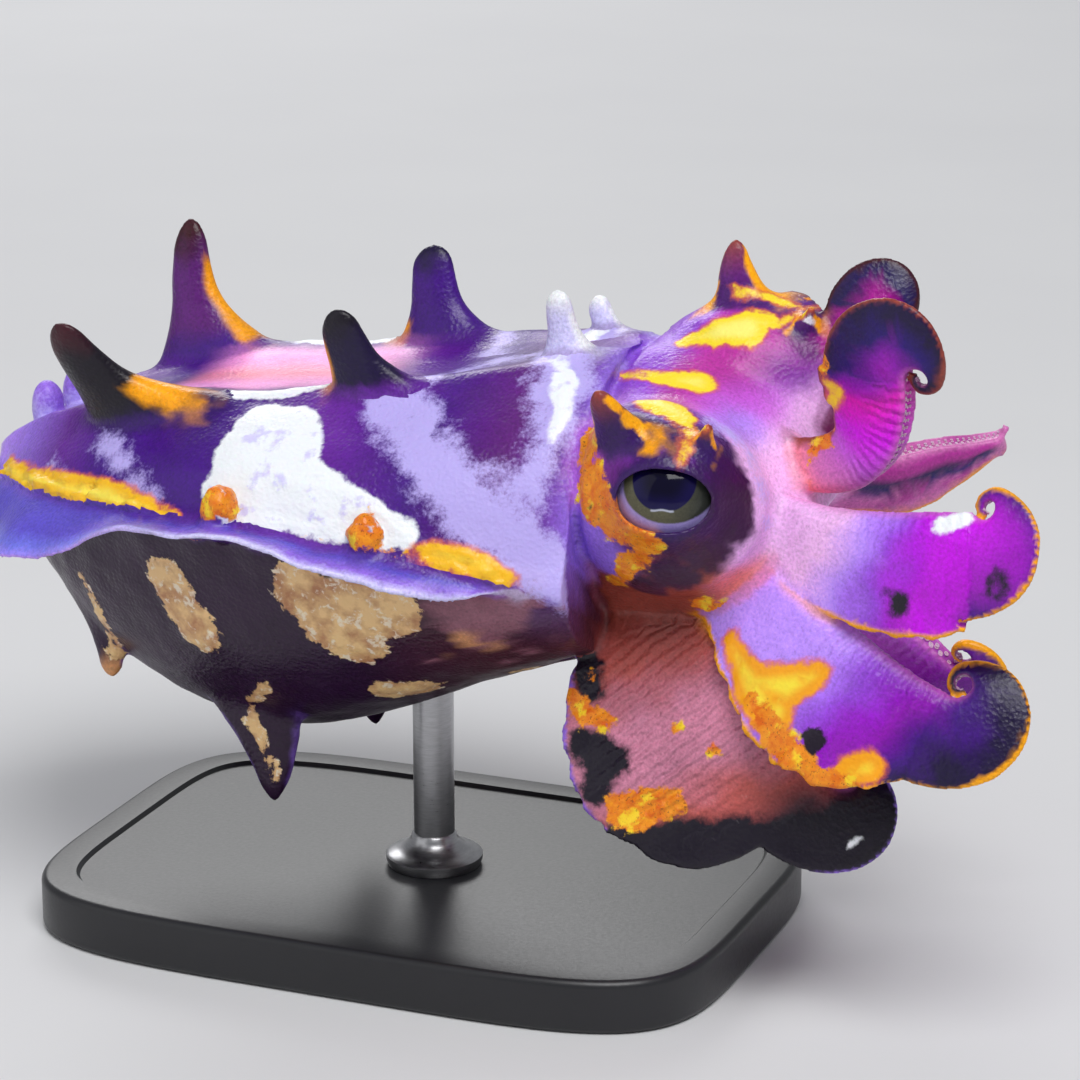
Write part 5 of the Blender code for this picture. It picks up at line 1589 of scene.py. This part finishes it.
def sucker_spots(key, stations, normal):
    """Foot, axis and radius of each sucker, in four rows along the oral face."""
    lengths = [0.0]
    for one, two in zip(stations, stations[1:]):
        lengths.append(lengths[-1] + (two[0] - one[0]).length)
    total = lengths[-1]
    dice = random.Random(len(key) + int(total * 100))
    spots = []
    along = total * SUCKERS_FROM
    pair = 0
    while along < total * SUCKERS_TO:
        k = max(i for i, length in enumerate(lengths[:-1]) if length <= along)
        u = (along - lengths[k]) / (lengths[k + 1] - lengths[k])
        one, two = stations[k], stations[k + 1]
        thick = one[4] + (two[4] - one[4]) * u
        half = min(KEEL_HALF, thick) + (thick - min(KEEL_HALF, thick)) * 0.6
        radius = min(curve_value(SUCKER_SIZES, along / total), half * 0.30) * SUCKER_SCALE.get(key, 1.0)
        out = one[2].lerp(two[2], u).normalized()
        for row in SUCKER_ROWS[pair::2]:
            size = radius * dice.uniform(0.92, 1.08)
            across = row * (half - size * 0.6)
            sink = 0.16 * abs(across / half) ** 3 * one[3] * 0.3
            spots.append((one[0].lerp(two[0], u) + normal * across + out * sink, -out, size))
        along += radius * SUCKER_STEP
        pair = 1 - pair
    return spots


def make_suckers(skin_tree):
    """Every sucker of all arms as one piece, each set on the skin's surface."""
    cup, cup_faces = model_cup()
    vertices, faces = [], []
    for key, (stations, normal) in arm_lines.items():
        for spot, axis, radius in sucker_spots(key, stations, normal):
            foot, way, *_ = skin_tree.ray_cast(to_world(spot + axis * 1.6), -axis, 2.6 * MM)
            if foot is None or way.dot(axis) < 0.5:
                continue
            side = axis.orthogonal().normalized()
            other = axis.cross(side)
            faces += [tuple(len(vertices) + i for i in face) for face in cup_faces]
            for v in cup:
                place = foot / MM + (side * v.x + other * v.y) * radius
                place += axis * (radius * (v.z * 0.75 + 0.16))
                vertices.append(place * MM)
    made = new_piece("suckers", vertices, faces)
    tones = [v.z for v in cup] * (len(vertices) // len(cup))
    add_attribute(made, "level", "FLOAT", "value", [tones])
    all_smooth(made)
    return made


def make_beak():
    """The dark tip of the beak, a hooked cone in the middle of the lips."""
    ahead, turn, lips = mouth_frame()
    bpy.ops.mesh.primitive_cone_add(vertices=32, radius1=BEAK_RADIUS, radius2=0.16, depth=BEAK_DEPTH)
    beak = named("beak")
    bpy.ops.object.mode_set(mode="EDIT")
    bpy.ops.mesh.select_all(action="SELECT")
    bpy.ops.mesh.subdivide(number_cuts=3)
    bpy.ops.object.mode_set(mode="OBJECT")
    for vertex in beak.data.vertices:
        level = (vertex.co.z + BEAK_DEPTH / 2) / BEAK_DEPTH
        vertex.co.y = vertex.co.y * (0.72 + 0.2 * level) - 0.42 * level ** 2
        vertex.co.x *= 1.0 + 0.25 * math.sin(math.pi * level)
        vertex.co = lips + ahead * (vertex.co.z - 0.1) + turn @ Vector((vertex.co.x, vertex.co.y, 0))
        vertex.co = to_world(vertex.co)
    bpy.ops.object.shade_smooth()
    return beak


# ---- stand, floor, lights and camera


def make_base():
    """The low oval-cornered base, its rim bevelled and its top plate let in."""
    bpy.ops.mesh.primitive_cylinder_add(vertices=144, radius=1.0, depth=BASE_SIZE[2])
    base = named("display_base")
    for vertex in base.data.vertices:
        a = math.atan2(vertex.co.y, vertex.co.x)
        c, s = math.cos(a), math.sin(a)
        vertex.co.x = BASE_SIZE[0] / 2 * math.copysign(abs(c) ** BASE_CORNER, c)
        vertex.co.y = BASE_SIZE[1] / 2 * math.copysign(abs(s) ** BASE_CORNER, s)
    choose(base.data.polygons, faces_up)
    bpy.ops.mesh.inset(thickness=BASE_MARGIN)
    bpy.ops.mesh.inset(thickness=BASE_PLATE, depth=-BASE_PLATE)
    bpy.ops.object.mode_set(mode="OBJECT")
    change(base, "BEVEL", width=BASE_EDGE, segments=5, limit_method="ANGLE", angle_limit=math.radians(50),
           harden_normals=False)
    shift = Vector((BASE_AT_X, 0.0, -AT.z + BASE_SIZE[2] / 2))
    for vertex in base.data.vertices:
        vertex.co = to_world(vertex.co + shift)
    bpy.ops.object.shade_smooth_by_angle(angle=math.radians(35))
    return base


def make_rod():
    """The steel rod with its turned collar, spun from its outline of radius and height."""
    low = -AT.z + BASE_SIZE[2] - 0.3
    foot = ROD_FOOT_RADIUS
    outline = ((0.0, low), (foot - 0.2, low), (foot, low + 0.5), (foot, low + 0.95),
               (foot - 0.25, low + 1.15), (foot - 0.9, low + 1.3), (2.9, low + 1.7), (2.4, low + 2.2),
               (2.15, low + 2.6), (2.1, low + 2.9), (ROD_RADIUS, low + 3.1), (ROD_RADIUS, ROD_TOP_Z),
               (0.0, ROD_TOP_Z))
    mesh = bpy.data.meshes.new("display_rod")
    mesh.from_pydata([(r, 0.0, z) for r, z in outline], [(k, k + 1) for k in range(len(outline) - 1)], [])
    rod = link(bpy.data.objects.new("display_rod", mesh))
    active(rod)
    bpy.ops.object.mode_set(mode="EDIT")
    bpy.ops.mesh.select_all(action="SELECT")
    bpy.ops.mesh.spin(steps=72, angle=2 * math.pi, center=(0.0, 0.0, 0.0), axis=(0.0, 0.0, 1.0))
    bpy.ops.mesh.select_all(action="SELECT")
    bpy.ops.mesh.remove_doubles(threshold=0.001)
    bpy.ops.mesh.normals_make_consistent(inside=False)
    bpy.ops.object.mode_set(mode="OBJECT")
    for vertex in rod.data.vertices:
        vertex.co = to_world(vertex.co + Vector((*ROD_AT, 0.0)))
    bpy.ops.object.shade_smooth_by_angle(angle=math.radians(40))
    return rod


def make_floor():
    bpy.ops.mesh.primitive_plane_add(size=FLOOR_SIZE)
    floor = named("floor")
    made, tree, shader, place = blank("pale_floor", Roughness=0.85)
    base = colour_mix(tree, grain(tree, place, 12.0, 3.0), rgb(214, 214, 216), rgb(222, 222, 223))
    tree.links.new(base, shader.inputs["Base Color"])
    floor.data.materials.append(made)


def aim(name, data, way, distance):
    """Set a lamp or the camera at a distance from the animal's middle, looking at it."""
    way = Vector(way).normalized()
    made = link(bpy.data.objects.new(name, data))
    made.location = to_world(CAMERA_TARGET) + way * distance
    made.rotation_euler = way.to_track_quat("Z", "Y").to_euler()
    return made


def make_light(name, way, distance, size, power):
    """A soft square lamp."""
    data = bpy.data.lights.new(name, "AREA")
    data.shape = "RECTANGLE"
    data.size, data.size_y = size
    data.energy = power
    aim(name, data, way, distance)


def make_camera():
    data = bpy.data.cameras.new("camera")
    data.sensor_width = CAMERA_SENSOR
    data.lens = CAMERA_LENS
    data.clip_start = 0.01
    data.clip_end = 20.0
    bpy.context.scene.camera = aim("camera", data, CAMERA_BACK, CAMERA_DISTANCE * MM)


def make_world():
    world = bpy.data.worlds.new("studio")
    world.use_nodes = True
    shade = world.node_tree.nodes["Background"]
    shade.inputs["Color"].default_value = (0.86, 0.88, 0.92, 1.0)
    shade.inputs["Strength"].default_value = 0.34
    bpy.context.scene.world = world


def make_skin():
    """The one skin of the whole animal, grown, thinned, softened and painted."""
    forms = flesh_forms()
    head_pieces = head_form()
    forms["head"] = [mesh_body(piece) for piece in head_pieces]
    skin = grow_skin({k: v for k, v in forms.items() if k != "head"}, head_pieces)
    thin_out(skin, SKIN_FACES)
    spots = places(skin.data)
    table = distances(spots, forms)
    names = list(table)
    owner = np.stack([table[name][0] for name in names], 1).argmin(1)
    fields = mark_fields(spots, owner, names)
    paint(skin, spots, table, fields)
    soften_joins(skin, table)
    soften_head(skin, forms["head"])
    relief(skin, table, fields)
    put_places(skin.data, (places(skin.data) + np.array(AT)) * MM)
    all_smooth(skin)
    return skin


def all_smooth(piece):
    for face in piece.data.polygons:
        face.use_smooth = True


def dress(piece, material, slot_name, *nodes):
    """Give a piece its material and body, and hide the solids it stands for; slot_name is not used."""
    piece.data.materials.clear()
    piece.data.materials.append(material)
    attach(piece, "root")
    if nodes:
        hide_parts(*nodes)


arm_lines = {key: arm_frame(spec) for key, spec in ARMS.items()}

bpy.context.scene.view_settings.view_transform = "Standard"
make_world()
make_floor()
make_camera()
make_light("key", (0.35, -0.5, 1.0), 0.75, (0.42, 0.42), 4.2)
make_light("fill", (-0.9, -0.9, 0.5), 1.0, (0.9, 0.9), 1.3)
make_light("rim", (-0.6, 0.9, 0.6), 0.9, (0.5, 0.3), 2.2)

skin = make_skin()
not_flesh = ("stand_base", "stand_rod", "eye_right", "eye_left")
dress(skin, skin_material(), "mantle_skin", *[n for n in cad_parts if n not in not_flesh])
glass = eye_material()
dress(make_eye("ball_right", -1), glass, "eye_gloss", "eye_right")
dress(make_eye("ball_left", 1), glass, "eye_gloss", "eye_left")
skin_tree = BVHTree.FromPolygons(*mesh_body(skin))
sucker_flesh = plain_material("sucker_flesh", (900.0,), (206, 150, 186), (244, 214, 236), (0.28, 0.45),
                              0.3, 0.00006, (4200.0,), deepen=cup_shade,
                              Subsurface_Weight=0.15, Subsurface_Scale=0.0005)
dress(make_suckers(skin_tree), sucker_flesh, "arm_skin")
beak_horn = plain_material("beak_horn", (1400.0, 4.0, 0.6, 0.8), (20, 12, 10), (86, 50, 34), (0.15, 0.35),
                           0.3, 0.00005)
dress(make_beak(), beak_horn, "mouth_skin")
lacquer = plain_material("base_lacquer", (60.0, 3.0), (24, 24, 27), (36, 36, 40), (0.28, 0.44),
                         0.18, 0.00005, (2600.0, 4.0, 0.6))
dress(make_base(), lacquer, "stand_black", "stand_base")
steel = plain_material("rod_steel", (900.0, 4.0, 0.65), (150, 150, 152), (205, 205, 208), (0.22, 0.40),
                       0.15, 0.00003, stretch=9.0, Metallic=1.0)
dress(make_rod(), steel, "stand_steel", "stand_rod")
